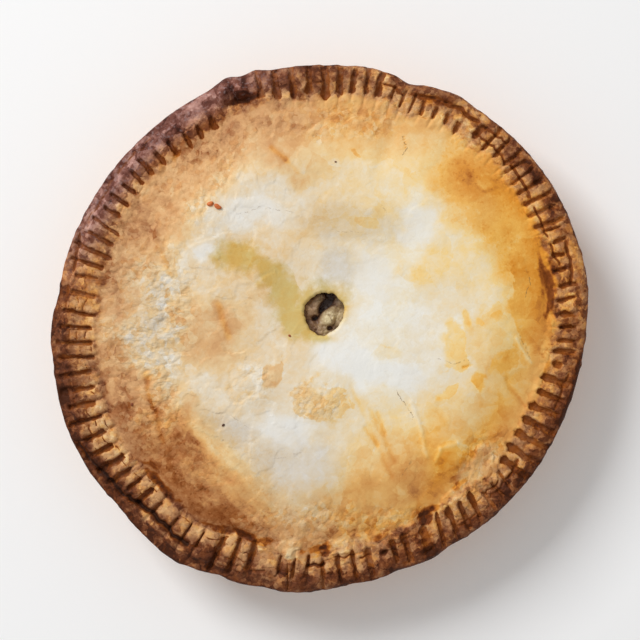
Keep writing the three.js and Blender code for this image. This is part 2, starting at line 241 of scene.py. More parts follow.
def fork_marks(angle, inward):
    """Depth and darkness of the marks, 0 to 1: ragged grooves that widen where a tine's tip went in."""
    arc = (outline(angle) - inward) * math.pi / 180.0
    ragged = rough(angle * 2.0, inward, 2.6, 23, 3)
    bend = 0.5 * rough(angle * 2.0, inward, 7.0, 27, 2)
    deepest, darkest = np.zeros_like(angle), np.zeros_like(angle)
    for middle, outer, inner, width, lean, tip, dark in MARKS:
        along = (inward - outer) / (inner - outer)
        off = turn(middle, angle) * arc - lean * (along - 0.5) + bend
        half = 0.5 * width * (0.95 + 0.3 * ragged + 0.6 * tip * bell((inward - inner + 1.8) / 2.2))
        across = np.abs(off) / np.maximum(half, 0.25)
        start = soften(outer - 0.9, outer + 0.9, inward + 0.8 * ragged)
        end = soften(inner + 0.8, inner - 0.8, inward + 0.7 * across**2 + 0.9 * ragged)
        groove = soften(1.3, 0.6, across) * start * end
        deepest = np.maximum(deepest, (0.6 + 0.4 * dark) * groove)
        tone = dark * (0.8 + 0.2 * np.clip(along, 0, 1))
        darkest = np.maximum(darkest, tone * soften(0.35, 0.65, groove))
    return deepest, darkest


print("fork marks:", len(MARKS))

# %% [markdown]
# Between two marks the dough wells up into a ridge. At the lower left the ridges stand apart like
# blocks. A dry ridge breaks across, so each stretch of a ridge may have one crack.

# %% Ridges between the marks
RIDGE_RISE = 0.8
BLOCK_RISE = 0.9  # how much further the ridges stand up where they are like blocks
BLOCK_MIDDLE, BLOCK_HALF = 219, 42
CROSS_CRACK_GAP = 4.6
RING_OF_MARKS = np.concatenate([[MARKS[-1, 0] - 360.0], MARKS[:, 0], [MARKS[0, 0] + 360.0]])


def blocks(angle):
    """1 where the ridges are like separate blocks, 0 elsewhere."""
    return soften(BLOCK_HALF + 14, BLOCK_HALF - 6, np.abs(turn(BLOCK_MIDDLE, angle)))


def ridges(angle, inward):
    """0 to 1, highest along the middle of the dough that wells up between two marks."""
    after = np.clip(np.searchsorted(RING_OF_MARKS, angle % 360.0), 1, len(RING_OF_MARKS) - 1)
    gap = RING_OF_MARKS[after] - RING_OF_MARKS[after - 1]
    off = 2.0 * (angle % 360.0 - RING_OF_MARKS[after - 1]) / gap - 1.0
    high = 0.6 + 0.4 * hashed(after.astype(float), 5.0, 3)
    along = inward + 0.8 * rough(angle * 2.0, inward, 4.0, 29, 2)
    block = blocks(angle)
    ends = soften(1.5, 6.0, along) * soften(19.5 + 2 * block, 15.5 + 3 * block, along)
    return high * (1.0 - np.abs(off) ** 4) * soften(9.0, 5.5, gap) * ends


def cross_cracks(angle, inward):
    """Cracks across the ridges, 0 to 1: at most one in each stretch of a ridge, at a random place."""
    ridge = np.searchsorted(RING_OF_MARKS, angle % 360.0).astype(float)
    along = inward / CROSS_CRACK_GAP + hashed(ridge, 2.0, 7)
    stretch = np.floor(along)
    place = stretch + 0.25 + 0.5 * hashed(ridge, stretch, 8)
    off = (along - place) * CROSS_CRACK_GAP + 0.7 * rough(angle * 2.0, inward, 3.0, 33, 2)
    broken = soften(-0.3, 0.0, rough(angle * 2.0, inward, 2.4, 35, 2))
    return broken * bell(off / 0.36) * soften(0.25, 0.5, hashed(ridge, stretch, 9)) * ridges(angle, inward)


print("ridges:", len(RING_OF_MARKS) - 1)

# %% [markdown]
# The crimped band is the rim's upper side. Its edge is round, the base's lip lies a little lower on
# the left, and the dough has split along the rim here and there. Cracks and lumps are placed one by
# one, because a viewer knows the pie by them.

# %% The crimped band
# cracks along the rim: first and last angle, distance in at each, depth, half width
RIM_CRACKS = [
    (10, 20, 8, 5, 1.2, 0.8), (14.5, 20.5, 11.5, 12, 0.9, 0.7), (21.5, 30, 12.2, 12.2, 0.9, 0.7),
    (31.5, 41, 11.2, 9.5, 1.1, 0.8), (41.5, 47, 10.4, 9.5, 1.0, 0.7), (44.5, 51, 4.5, 4.8, 1.0, 0.7),
    (46, 51.5, 9.2, 9.6, 1.0, 0.7), (52, 60, 4.2, 6.0, 1.2, 1.1), (59, 69, 6.0, 4.6, 1.1, 1.3),
    (70, 75.5, 6, 6.2, 0.9, 0.7), (131, 157, 3.4, 3.0, 0.9, 0.6), (158, 167, 2.5, 5.3, 1.3, 0.8),
    (170, 176, 3.8, 5.5, 0.8, 0.6), (205, 214, 3.0, 5.0, 2.0, 1.0), (213, 221, 5.3, 5.2, 2.2, 1.2),
    (220.5, 227.5, 5.4, 10.2, 2.5, 1.2), (227, 234, 10.4, 10.0, 2.6, 1.2),
    (233, 239, 10.2, 9.4, 2.4, 1.1), (239, 242, 9.5, 11, 0.8, 0.6), (246, 249, 9, 9.2, 0.8, 0.5),
    (250, 252.6, 7.6, 8, 0.7, 0.5), (253.8, 257.5, 6.5, 7.5, 1.0, 0.7), (257, 260, 8, 6.5, 0.6, 0.5),
    (262.3, 263.2, 12, 1.5, 1.3, 2.0), (266.6, 271.5, 12.2, 12.0, 1.6, 0.8),
    (273.5, 279, 13.4, 13, 0.8, 0.6), (279.8, 283, 10.8, 11.2, 0.9, 0.6),
    (288.6, 293.5, 12, 13, 0.8, 0.6), (289, 299, 3, 4, 0.6, 0.6), (305, 310.5, 6.5, 6, 0.8, 0.6),
    (315, 321, 7.6, 8.2, 0.8, 0.5), (315, 320, 10.5, 10.5, 0.9, 0.6), (321, 327, 8.5, 8.5, 0.9, 0.7),
    (341, 350, 6.0, 5.0, 0.9, 0.7),
]

# lumps and hollows of the rim: angle, half width, distance in, half width, height
RIM_FORMS = [
    (108.2, 1.4, 6.8, 3.0, 3.4), (112.0, 1.7, 5.8, 3.2, 3.4), (109.8, 3.2, 11.4, 1.8, -3.2),
    (110.2, 0.5, 6, 4, -1.6), (62, 5, 2.5, 2.5, 1.0), (206, 14, 20, 2.5, -0.8), (227, 6, 20, 3, -1.8),
    (247, 6, 20, 3, -1.8), (262, 2.2, 12, 4, 1.0), (276, 3, 14, 3, 0.8), (299, 3, 17, 3, -1.0),
    (309, 5, 15.5, 3, 0.9), (10, 6, 17, 3.2, -1.0), (286.2, 0.8, 10.2, 1.0, -1.6),
]

LIP_DROP = 1.2
LIP_MIDDLE, LIP_HALF = 192, 62
LIP_WIDTH = 5.0
RIM_END = 30.0  # further in than this the rim has no say


def lower_lip(angle):
    """1 where the base's lip lies lower than the lid's edge, 0 elsewhere."""
    return soften(LIP_HALF + 12, LIP_HALF - 12, np.abs(turn(LIP_MIDDLE, angle)))


def rim_cracks(angle, inward):
    """Depth of the cracks along the rim: a bell across each, with ends that run out."""
    wander = 0.7 * rough(angle, 0 * angle, 2.2, 31, 3)
    deepest = np.zeros_like(angle)
    for first, last, start, end, depth, half in RIM_CRACKS:
        share = turn(first, angle) / (last - first)
        place = start + (end - start) * np.clip(share, 0.0, 1.0) + wander
        along = soften(-0.08, 0.1, share) * soften(1.08, 0.9, share)
        deepest = np.maximum(deepest, depth * along * bell((inward - place) / half))
    return deepest


def crumble(x, y):
    """Small lumps and pits of the rough rim, about -1 to 1."""
    return 0.8 * rough(x, y, 3.4, 71, 3) + 0.6 * (np.abs(rough(x, y, 5.0, 75, 2)) - 0.3)


def rim_height(angle, inward):
    """The crimped band from its top: a round edge, a lower lip, cracks, lumps, ridges and fork marks."""
    curl = np.clip(1.0 - inward / EDGE_ROUND, 0.0, 1.0)
    height = -EDGE_DROP * (1.0 - np.sqrt(1.0 - curl * curl))
    inside_lip = soften(0, 2, inward) * soften(LIP_WIDTH + 1, LIP_WIDTH - 1, inward)
    height = height - LIP_DROP * lower_lip(angle) * inside_lip - rim_cracks(angle, inward)
    for middle, half, place, reach, rise in RIM_FORMS:
        height += rise * bell(turn(middle, angle) / half) * bell((inward - place) / reach)
    height += (RIDGE_RISE + BLOCK_RISE * blocks(angle)) * ridges(angle, inward)
    height -= 0.7 * cross_cracks(angle, inward)
    return height - FORK_DEPTH * fork_marks(angle, inward)[0]


def near_rim(rim_function, angle, inward):
    """A function of the rim where the rim is near, and 0 on the rest of the lid."""
    near = inward < RIM_END
    values = np.zeros_like(angle)
    values[near] = rim_function(angle[near], inward[near])
    return values


print("cracks along the rim:", len(RIM_CRACKS))

# %% [markdown]
# The lid has folds, hair cracks and thin flakes. Each is set between two points or in an ellipse.
# Noise then bends it, so that none looks as if it were drawn with a ruler.

# %% Folds, flakes and hair cracks of the lid
# creases of the lid: from x, y to x, y, half width, height, change of bake
CREASES = [
    (-73, 42, -65, 24, 1.5, 0.4, 0.10), (40, -32, 47, -55, 1.0, 0.4, -0.08),
    (20, -43, 25, -51, 0.8, -0.2, 0.13), (25, -37, 28.5, -46, 0.8, -0.2, 0.12),
    (-76, -20, -69, -50, 1.6, -0.5, 0.13), (82, -22, 90, -34, 1.1, -0.3, 0.12),
    (-20.5, 79.5, -14.5, 73.5, 1.8, 0.0, 0.15), (-14, 73, -9, 68, 1.2, 0.0, 0.10),
    (-45, 11, -39.5, -3, 2.2, -0.2, 0.13), (86, -4, 93, -15, 0.9, 0.4, -0.14),
    (61, 9, 65.5, 0, 1.8, 0.0, 0.13), (-62, -46, -44, -60, 2.5, 0.5, 0.06),
    (14, -25, 31, -64, 1.1, -0.15, 0.09), (22, -36, 33, -57, 1.1, -0.15, 0.09),
    (50.8, -58, 52.9, -52.6, 0.9, 0.3, -0.10), (52.9, -52.6, 60.8, -49.8, 0.9, 0.3, -0.10),
    (60.8, -49.8, 65, -51.4, 0.8, 0.2, -0.08), (-30, -68, -8, -84, 3.0, 0.5, 0.0),
    (37, 84, 38, 79, 0.3, -0.3, 0.2), (66, -15, 62, -16, 0.4, -0.3, 0.25),
]

# hair cracks of the lid: from x, y to x, y, darkness
HAIRLINES = [
    (36, 85, 38.5, 80, 0.7), (38.5, 80, 36.5, 76, 0.7), (90, 14, 92.5, 20, 0.7), (92.5, 20, 91, 26, 0.6),
    (34, -27, 38, -34, 0.7), (38, -34, 42, -41, 0.8), (66, -13, 59, -15.5, 0.5),
    (59, -15.5, 52, -13, 0.5), (-36, 50, -26, 53, 0.35), (-26, 53, -12, 51, 0.35), (8, 43, 18, 42, 0.3),
    (27, 55, 31, 46, 0.3), (88, -3, 93, -14, 0.4), (-20, -57, -8, -54, 0.25), (-38, -38, -30, -44, 0.3),
    (40, -58, 36, -64, 0.4),
]

# thin plates of pastry that have lifted: x, y, half length, half width, turn
FLAKES = [
    (-12, -98, 5, 6, 10), (9, -97, 6, 4, 5), (60, -75, 9, 4.5, 40), (71, -61, 6, 8, -30),
    (-50, -93, 6, 3, -35), (30, -95, 5, 3, 20),
]


def ellipse(x, y, middle_x, middle_y, length, width, angle):
    """1 in the middle of an ellipse, 0 on its edge and below 0 outside, falling evenly."""
    cos, sin = math.cos(math.radians(angle)), math.sin(math.radians(angle))
    along = ((x - middle_x) * cos + (y - middle_y) * sin) / length
    aside = ((y - middle_y) * cos - (x - middle_x) * sin) / width
    return 1.0 - np.hypot(along, aside)


def torn(x, y, reach):
    """The same place moved a little by noise, so that a plain shape gets a torn edge."""
    return x + reach * rough(x, y, 9.0, 101, 4), y + reach * rough(x, y, 9.0, 111, 4)


def crease(x, y, start_x, start_y, end_x, end_y, half):
    """A bell across a straight line from one point to another, run out at its ends."""
    long_x, long_y = end_x - start_x, end_y - start_y
    share = ((x - start_x) * long_x + (y - start_y) * long_y) / (long_x**2 + long_y**2)
    share = np.clip(share, 0.0, 1.0)
    return bell(np.hypot(x - start_x - share * long_x, y - start_y - share * long_y) / half)


def hairlines(x, y):
    """Signed distance from the nearest hair crack, and its darkness, faded out at its ends."""
    chosen, darkness = np.full_like(x, 9.0), np.zeros_like(x)
    for start_x, start_y, end_x, end_y, dark in HAIRLINES:
        long_x, long_y = end_x - start_x, end_y - start_y
        length = math.hypot(long_x, long_y)
        share = ((x - start_x) * long_x + (y - start_y) * long_y) / length**2
        aside = ((y - start_y) * long_x - (x - start_x) * long_y) / length
        ends = soften(-0.15, 0.1, share) * soften(1.15, 0.9, share)
        here = dark * ends * soften(5.0, 3.0, np.abs(aside))
        nearer = here > darkness
        chosen, darkness = np.where(nearer, aside, chosen), np.where(nearer, here, darkness)
    return chosen, darkness


def flake_edges(x, y):
    """Above 0 on a lifted flake: the largest of the flakes' ellipses."""
    x, y = torn(x, y, 3.2)
    return np.max([ellipse(x, y, *flake) for flake in FLAKES], axis=0)


def widest(places, x, y):
    """How far inside the nearest of some ellipses."""
    x, y = torn(x, y, 2.5)
    return np.max([ellipse(x, y, *place) for place in places], axis=0)


print("folds, hair cracks and flakes:", len(CREASES), len(HAIRLINES), len(FLAKES))

# %% [markdown]
# Where the pastry is short and dry it crumbles. Packed cells of three sizes give crumbs with creases
# between them, and a list of ellipses says where they show. At the lower left the crust is drawn out
# into fine grooves instead, which is noise stretched along one direction.

# %% Crumbly places of the lid
# places where the lid is crumbly: x, y, half length, half width, turn, how crumbly
CRAGGY_PLACES = [
    (-79, 8, 24, 44, 0, 1.0), (-76, -32, 16, 18, 0, 1.0), (-2, 91, 40, 8, 0, 0.8),
    (72, -60, 13, 17, -40, 0.9), (0, -31, 13, 8, -10, 0.8), (-30, -24, 10, 8, 0, 0.6),
    (16, -89, 46, 9, 4, 1.0), (-62, 62, 44, 17, 45, 0.85), (-62, -56, 30, 12, -42, 0.5),
    (-14, -86, 34, 9, 10, 0.9),
]

# crumbs and flakes of such a place: size, height, seed
LUMP_SIZES = [(8.0, 0.8, 55), (4.4, 0.7, 57), (2.6, 0.5, 59)]
LUMP_MEAN = 1.4

# browned zone with fine grooves: x, y, half length, half width, turn
STREAK_ZONE = (-50, -62, 46, 20, -42)


def crags(x, y):
    """How crumbly the lid is, 0 to 1: the most of what the crumbly places ask for, unevenly."""
    moved = torn(x, y, 2.5)
    asked = [0.04 + 0.16 * soften(0, -50, x)]
    for *shape, strength in CRAGGY_PLACES:
        asked.append(strength * soften(-0.25, 0.35, ellipse(*moved, *shape)))
    return (0.75 + 0.25 * soften(-0.25, 0.2, rough(x, y, 13.0, 49, 3))) * np.max(asked, axis=0)


def lid_lumps(x, y):
    """Crumbs and tilted flakes side by side with creases between them, where the lid is craggy."""
    moved_x, moved_y = x + 2.0 * rough(x, y, 6.0, 51, 4), y + 2.0 * rough(x, y, 6.0, 53, 4)
    total = np.full_like(x, -LUMP_MEAN)
    for size, height, seed in LUMP_SIZES:
        nearest, further, plane = packed(moved_x, moved_y, size, seed)
        total += height * (0.9 * (1.0 - nearest**2) + 0.1 * soften(0.0, 0.4, further) + 0.5 * plane)
    return crags(x, y) * total


def streaks(x, y):
    """Fine grooves along the browned zone at the lower left, about -1 to 1, and 0 outside it."""
    turned = math.radians(STREAK_ZONE[4])
    along = x * math.cos(turned) + y * math.sin(turned)
    aside = y * math.cos(turned) - x * math.sin(turned) + 1.5 * rough(x, y, 14.0, 67, 2)
    zone = soften(-0.1, 0.3, ellipse(*torn(x, y, 3.0), *STREAK_ZONE))
    return zone * rough(along / 6.0, aside, 2.4, 69, 3)


def lid_relief(x, y):
    """Slow waves, lumps, folds, streaks, and thin plates whose edges are steps of the noise."""
    waves = 0.5 * rough(x, y, 24.0, 41, 2)
    plates = (0.1 + 0.15 * soften(10, -50, x)) * soften(0.05, 0.16, rough(x, y, 16.0, 61, 3))
    plates = plates + (0.1 + 0.6 * soften(10, -50, x)) * packed(*torn(x, y, 1.5), 10.0, 63)[2]
    folds = 0.25 * streaks(x, y)
    for *line, half, rise, _ in CREASES:
        folds += rise * crease(*torn(x, y, 0.8), *line, half)
    return waves + lid_lumps(x, y) + plates + folds


print("crumbly places:", len(CRAGGY_PLACES))

# %% [markdown]
# The upper side is one height over the table for every place on the pie. The crimped band, the
# dome of the lid, the lumps and the marks are simply added up. That is enough here, because
# nothing on the upper side hangs over anything else by more than a hair.

# %% Height of the upper side
# swellings and sags of the lid: x, y, half width, height
LID_FORMS = [
    (-14, 14, 15, -1.3), (-38, 34, 12, -0.8), (0, -31, 11, 1.1), (-30, -24, 10, 0.8), (60, 2, 16, 0.8),
    (78, -12, 9, 0.9), (58, -56, 9, 1.3), (66, 66, 14, 0.7), (-80, 4, 14, 0.9), (-76, -36, 12, 0.8),
    (-20, 70, 16, 0.6), (24, -74, 16, 0.6),
]


def dome(inward):
    """Rise of the smooth lid: one soft step from the crimped band to the flat."""
    return LID_RISE * soften(CRIMP_WIDTH - 3, CRIMP_WIDTH + SHOULDER, inward)


def top_height(x, y):
    """Height of the upper side at any place on the pie."""
    angle = np.degrees(np.arctan2(y, x))
    inward = outline(angle) - np.hypot(x, y)
    on_lid = soften(CRIMP_WIDTH - 1, CRIMP_WIDTH + 5, inward)
    height = RIM_TOP + near_rim(rim_height, angle, inward) + dome(inward)
    for form_x, form_y, half, rise in LID_FORMS:
        height += on_lid * rise * bell(np.hypot(x - form_x, y - form_y) / half)
    height += on_lid * lid_relief(x, y) + 0.7 * soften(0.0, 0.15, flake_edges(x, y))
    return height + (1 - on_lid) * soften(0.2, 2.0, inward) * 0.4 * crumble(x, y)


def lid_underside(x, y):
    """Height of the smooth underside of the lid, a little lower round the vent."""
    angle = np.degrees(np.arctan2(y, x))
    near_vent = bell(np.hypot(x - VENT_X, y - VENT_Y) / (3 * VENT_RADIUS))
    return RIM_TOP + dome(outline(angle) - np.hypot(x, y)) - PASTRY - VENT_SAG * near_vent


print("height in the middle:", top_height(np.zeros(1), np.zeros(1)).round(1), "mm")

# %% [markdown]
# A closed skin is built from rings of points. That of the base and rim runs from a pole under the
# pie, up its side, over the rim and back round the hollow to a second pole. The rim needs many more
# points in a ring than the wall does, so two neighbouring rings may differ by a factor of two. Then
# each long edge of the coarser ring is met by two short ones.

# %% Rings into a skin


def join_rings(low, low_count, high, high_count):
    """Triangles between two rings, given each ring's first point and number of points."""
    step = np.arange(min(low_count, high_count))
    if len(step) == 1:
        step = np.arange(max(low_count, high_count))
    after = (step + 1) % len(step)
    if low_count == 1:
        return np.stack([low + 0 * step, high + after, high + step], 1)
    if high_count == 1:
        return np.stack([low + step, low + after, high + 0 * step], 1)
    if low_count == high_count:
        one = np.stack([low + step, high + after, high + step], 1)
        two = np.stack([low + step, low + after, high + after], 1)
        return np.concatenate([one, two])
    if high_count == 2 * low_count:
        half = high + 2 * step + 1
        one = np.stack([low + step, half, high + 2 * step], 1)
        two = np.stack([low + step, low + after, half], 1)
        three = np.stack([low + after, high + 2 * after, half], 1)
        return np.concatenate([one, two, three])
    half = low + 2 * step + 1
    one = np.stack([low + 2 * step, half, high + step], 1)
    two = np.stack([half, high + after, high + step], 1)
    three = np.stack([half, low + 2 * after, high + after], 1)
    return np.concatenate([one, two, three])


class Skin:
    """Collects zones of rings. Each zone is an array of rings, points and coordinates."""

    def __init__(self):
        self.points = []
        self.faces = []
        self.upper = []
        self.count = 0
        self.first = None
        self.last = None

    def zone(self, points, upper=0.0):
        """Adds the rings of one zone and joins them to each other and to the zone before."""
        for ring in points:
            start, size = self.count, len(ring)
            if self.last is None:
                self.first = size
            else:
                self.faces.append(join_rings(*self.last, start, size))
            self.last = (start, size)
            self.count += size
        self.points.append(points.reshape(-1, 3))
        self.upper.append(np.full(points.shape[0] * points.shape[1], upper))

    def close(self):
        """Joins the last ring to the first, for a skin with a hole through it."""
        self.faces.append(join_rings(*self.last, 0, self.first))

    def arrays(self):
        """All points, all triangles, and for each point whether it is on the upper side."""
        return np.concatenate(self.points), np.concatenate(self.faces), np.concatenate(self.upper)


print("triangles between rings of 4 and 8 points:", len(join_rings(0, 4, 4, 8)))

# %% [markdown]
# Every piece ends as plain arrays: points, triangles, and a few numbers for each point, which the
# materials read as attributes. Handing them over in bulk is far quicker than adding them one by one.

# %% Arrays into an object


def polar_grid(count):
    """Angles of one ring, as a row."""
    return np.arange(count) * 360.0 / count


def around(angle, radius, height, middle_x=0.0, middle_y=0.0):
    """Points at an angle, radius and height, which may be arrays of rings and angles."""
    angle, radius, height = np.broadcast_arrays(angle, radius, height)
    turned = np.radians(angle)
    x, y = middle_x + radius * np.cos(turned), middle_y + radius * np.sin(turned)
    return np.stack([x, y, height], -1)


def column(values):
    """A list of ring places as a column, ready to be spread over a row of angles."""
    return np.asarray(values, dtype=float)[:, None]


def mesh_object(name, points, faces, fields):
    """A smooth mesh from arrays, with one attribute for each named field."""
    mesh = bpy.data.meshes.new(name)
    mesh.vertices.add(len(points))
    mesh.vertices.foreach_set("co", (points * MM).astype(np.float32).ravel())
    mesh.loops.add(faces.size)
    mesh.loops.foreach_set("vertex_index", faces.astype(np.int32).ravel())
    mesh.polygons.add(len(faces))
    mesh.polygons.foreach_set("loop_start", np.arange(0, faces.size, 3, dtype=np.int32))
    mesh.update(calc_edges=True)
    mesh.validate()
    mesh.shade_smooth()
    for field, values in fields.items():
        layer = mesh.attributes.new(field, "FLOAT", "POINT")
        layer.data.foreach_set("value", values.astype(np.float32))
    made = bpy.data.objects.new(name, mesh)
    bpy.context.scene.collection.objects.link(made)
    print(name, "triangles:", len(faces))
    return made


print("a ring of four:", around(polar_grid(4), 1.0, 0.0).round(1).tolist())

# %% [markdown]
# The crust is both sheets of pastry, which the fork has pressed into one. It is made as two closed
# skins, because the marks of the rim and the crumbs of the lid each need many points. They meet at a
# seam just inside the crimped band: past it each one dips under the other, so no gap can show.

# %% The skin of the base and rim
SEAM = 20.0
RIM_POINTS = 1600

# rings of the flat base by radius, and of the wall by height
BASE_RINGS = [22, 44, 64, 78, BASE_RADIUS - BASE_FILLET]
WALL_RINGS = [0.3, 1.0, 2.2, 4.0, BASE_FILLET, 10, 14, 18, 22, RIM_UNDERSIDE - 3, RIM_UNDERSIDE - 1]


def add_outside(skin):
    """Flat base, rounded corner and tapered wall with a few soft dents."""
    skin.zone(np.zeros((1, 1, 3)))
    skin.zone(around(polar_grid(RIM_POINTS // 8), column(BASE_RINGS), 0.0))
    angle = polar_grid(RIM_POINTS // 4)
    slope = (WALL_TOP_RADIUS - BASE_RADIUS) / RIM_UNDERSIDE
    height = column(WALL_RINGS)
    left = np.clip(1.0 - height / BASE_FILLET, 0.0, 1.0)
    radius = BASE_RADIUS + slope * height - (BASE_FILLET + slope * 2.0) * left**2.4
    ring_x = RIM_RADIUS * np.cos(np.radians(angle)) + 0 * height
    dents = 0.35 * rough(ring_x, 1.5 * height + 0 * angle, 14.0, 81, 3)
    dents = dents * soften(0, 8, height) * soften(0, 4, RIM_UNDERSIDE - height)
    skin.zone(around(angle, radius + dents, height))


def dip(past):
    """How far a skin has sunk at a distance past the seam: half the square of it."""
    return 0.5 * np.clip(past, 0.0, None) ** 2


def add_rim(skin):
    """Underside of the rim, its rounded edge, the fork-marked band, and the dip past the seam."""
    angle = polar_grid(RIM_POINTS)
    reach = ragged_outline(angle)
    inner = WALL_TOP_RADIUS + 1.5
    under = inner + (reach - 0.6 * EDGE_ROUND - inner) * column([0.0, 0.5])
    skin.zone(around(angle[::2], under[:, ::2], RIM_UNDERSIDE))
    curve = np.radians(column([-75, -50, -25]))
    under = reach - 0.6 * EDGE_ROUND * (1.0 - np.cos(curve))
    skin.zone(around(angle, under, RIM_TOP - EDGE_DROP + EDGE_DROP * np.sin(curve)))
    bend = EDGE_ROUND * (1.0 - np.cos(np.radians(np.arange(0.0, 80.0, 10.0))))
    band = np.linspace(3.8, SEAM, 41)
    inward = column(np.concatenate([bend, band, SEAM + np.array([0.4, 0.8, 1.4, 2.0])]))
    flat = around(angle, reach - inward, 0.0)
    flat[..., 2] = top_height(flat[..., 0], flat[..., 1]) - dip(inward - SEAM)
    skin.zone(flat, 1.0)


def add_hollow(skin):
    """The rim's inner side, inner wall and inner floor, plain because lid and filling hide them."""
    angle = polar_grid(RIM_POINTS // 2)
    inner = outline(angle) - SEAM - 2.0
    x, y = inner * np.cos(np.radians(angle)), inner * np.sin(np.radians(angle))
    lower = np.stack([x, y, lid_underside(x, y)], -1)
    skin.zone(lower[None])
    skin.zone(lower[None, ::2] * 1.02)
    angle = angle[::4]
    skin.zone(around(angle, column([CAVITY_RADIUS]), RIM_TOP - PASTRY))
    skin.zone(around(angle, column([CAVITY_BASE_RADIUS]), PASTRY))
    skin.zone(np.array([[[0.0, 0.0, PASTRY]]]))


rim_skin = Skin()
add_outside(rim_skin)
add_rim(rim_skin)
add_hollow(rim_skin)
print("points of the base and rim:", rim_skin.count)

# %% [markdown]
# The lid is a disc of pastry with the vent as a hole, so its skin is a ring that closes on itself.
# Its points crowd towards the left, where the crumbs are, and thin out towards the vent, where the
# rings are short.

# %% The skin of the lid
LID_POINTS = 1000
LID_CROWDING = 20.0  # degrees by which the lid's points crowd towards the crumbly left

# belts of the lid: share of the way out at its outer and inner end, rings, points fewer by this factor
LID_BELTS = [(1.0, 0.56, 62, 1), (0.553, 0.257, 42, 2), (0.25, 0.0, 38, 4)]

# rounding of the vent: share of the lip's width outside the vent's edge, how far below the lid
VENT_ROUNDING = [(0.75, 0.12), (0.35, 0.4), (0.1, 0.85), (0.0, 1.5), (0.05, 2.4), (0.2, 3.2)]


def crowded(count):
    """Angles of one ring of the lid, closer together on the left."""
    angle = polar_grid(count)
    return angle + LID_CROWDING * np.sin(np.radians(angle))


def vent_edge(angle):
    """Radius of the vent, a little oval and torn."""
    turned = np.radians(angle)
    uneven = rough(6 * np.cos(turned), 6 * np.sin(turned), 3.0, 91, 4)
    return VENT_RADIUS * (1.0 + 0.04 * np.cos(2 * (turned - 1.1)) + 0.075 * uneven)


def from_vent(angle, inner, outer, share):
    """Places blended from a ring round the vent (share 0) to one round the pie's middle (share 1)."""
    cos, sin = np.cos(np.radians(angle)), np.sin(np.radians(angle))
    x = (VENT_X + inner * cos) * (1 - share) + outer * cos * share
    y = (VENT_Y + inner * sin) * (1 - share) + outer * sin * share
    return x, y


def lid_places(angle, share, past=0.0):
    """Places blended from the vent's lip (share 0) to the seam (share 1), or further out by past."""
    return from_vent(angle, vent_edge(angle) + VENT_LIP, ragged_outline(angle) - SEAM + past, share)


def add_lid_underside(skin):
    """Underside of the lid, from the vent to its hidden outer end."""
    x, y = lid_places(crowded(LID_POINTS // 4), column([0.0, 0.33, 0.67, 1.0]), 1.2)
    skin.zone(np.stack([x, y, lid_underside(x, y)], -1))
    x, y = lid_places(crowded(LID_POINTS // 2), column([1.0]), 1.6)
    skin.zone(np.stack([x, y, lid_underside(x, y) + 0.8], -1))


def add_lid_top(skin):
    """The lid from under the rim to the vent, its lip, and down through its thickness."""
    past = column([1.6, 1.2, 0.8, 0.4])
    x, y = lid_places(crowded(LID_POINTS), column([1.0] * 4), past)
    skin.zone(np.stack([x, y, top_height(x, y) - dip(past)], -1), 1.0)
    for outer, inner, rings, coarser in LID_BELTS:
        angle = crowded(LID_POINTS // coarser)
        x, y = lid_places(angle, column(np.linspace(outer, inner, rings)))
        height = top_height(x, y)
        skin.zone(np.stack([x, y, height], -1), 1.0)
    for out, drop in VENT_ROUNDING:
        edge = vent_edge(angle) + out * VENT_LIP
        skin.zone(around(angle, edge, height[-1] - drop, VENT_X, VENT_Y)[None], 1.0)


lid_skin = Skin()
add_lid_underside(lid_skin)
add_lid_top(lid_skin)
lid_skin.close()
print("points of the lid:", lid_skin.count)

# %% [markdown]
# Pastry browns from cream through gold and orange to a dark brown, and the order never changes. So
# one number, the bake, is enough for most of the colour: low in the pale middle, higher towards the
# rim, highest in the fork marks. Patches where the lid sat nearer the heat are ellipses that raise
# or lower it.

# %% Browning of the lid
MIDDLE_BAKE = 0.17

# browning that creeps in from the rim: angle, bake at the rim, distance in up to which it is full,
# and distance in where it has faded
CREEP = [
    (0, 0.42, 14, 58), (22, 0.43, 14, 44), (42, 0.44, 14, 40), (62, 0.42, 14, 50), (80, 0.46, 14, 52),
    (95, 0.53, 17, 46), (110, 0.56, 18, 44), (128, 0.56, 18, 44), (142, 0.55, 16, 50),
    (160, 0.57, 16, 54), (180, 0.62, 17, 46), (195, 0.64, 17, 54), (208, 0.64, 18, 62),
    (220, 0.67, 28, 66), (232, 0.69, 32, 66), (245, 0.69, 28, 64), (258, 0.61, 18, 58),
    (280, 0.58, 14, 64), (300, 0.54, 14, 80), (320, 0.57, 15, 70), (340, 0.49, 14, 66),
]

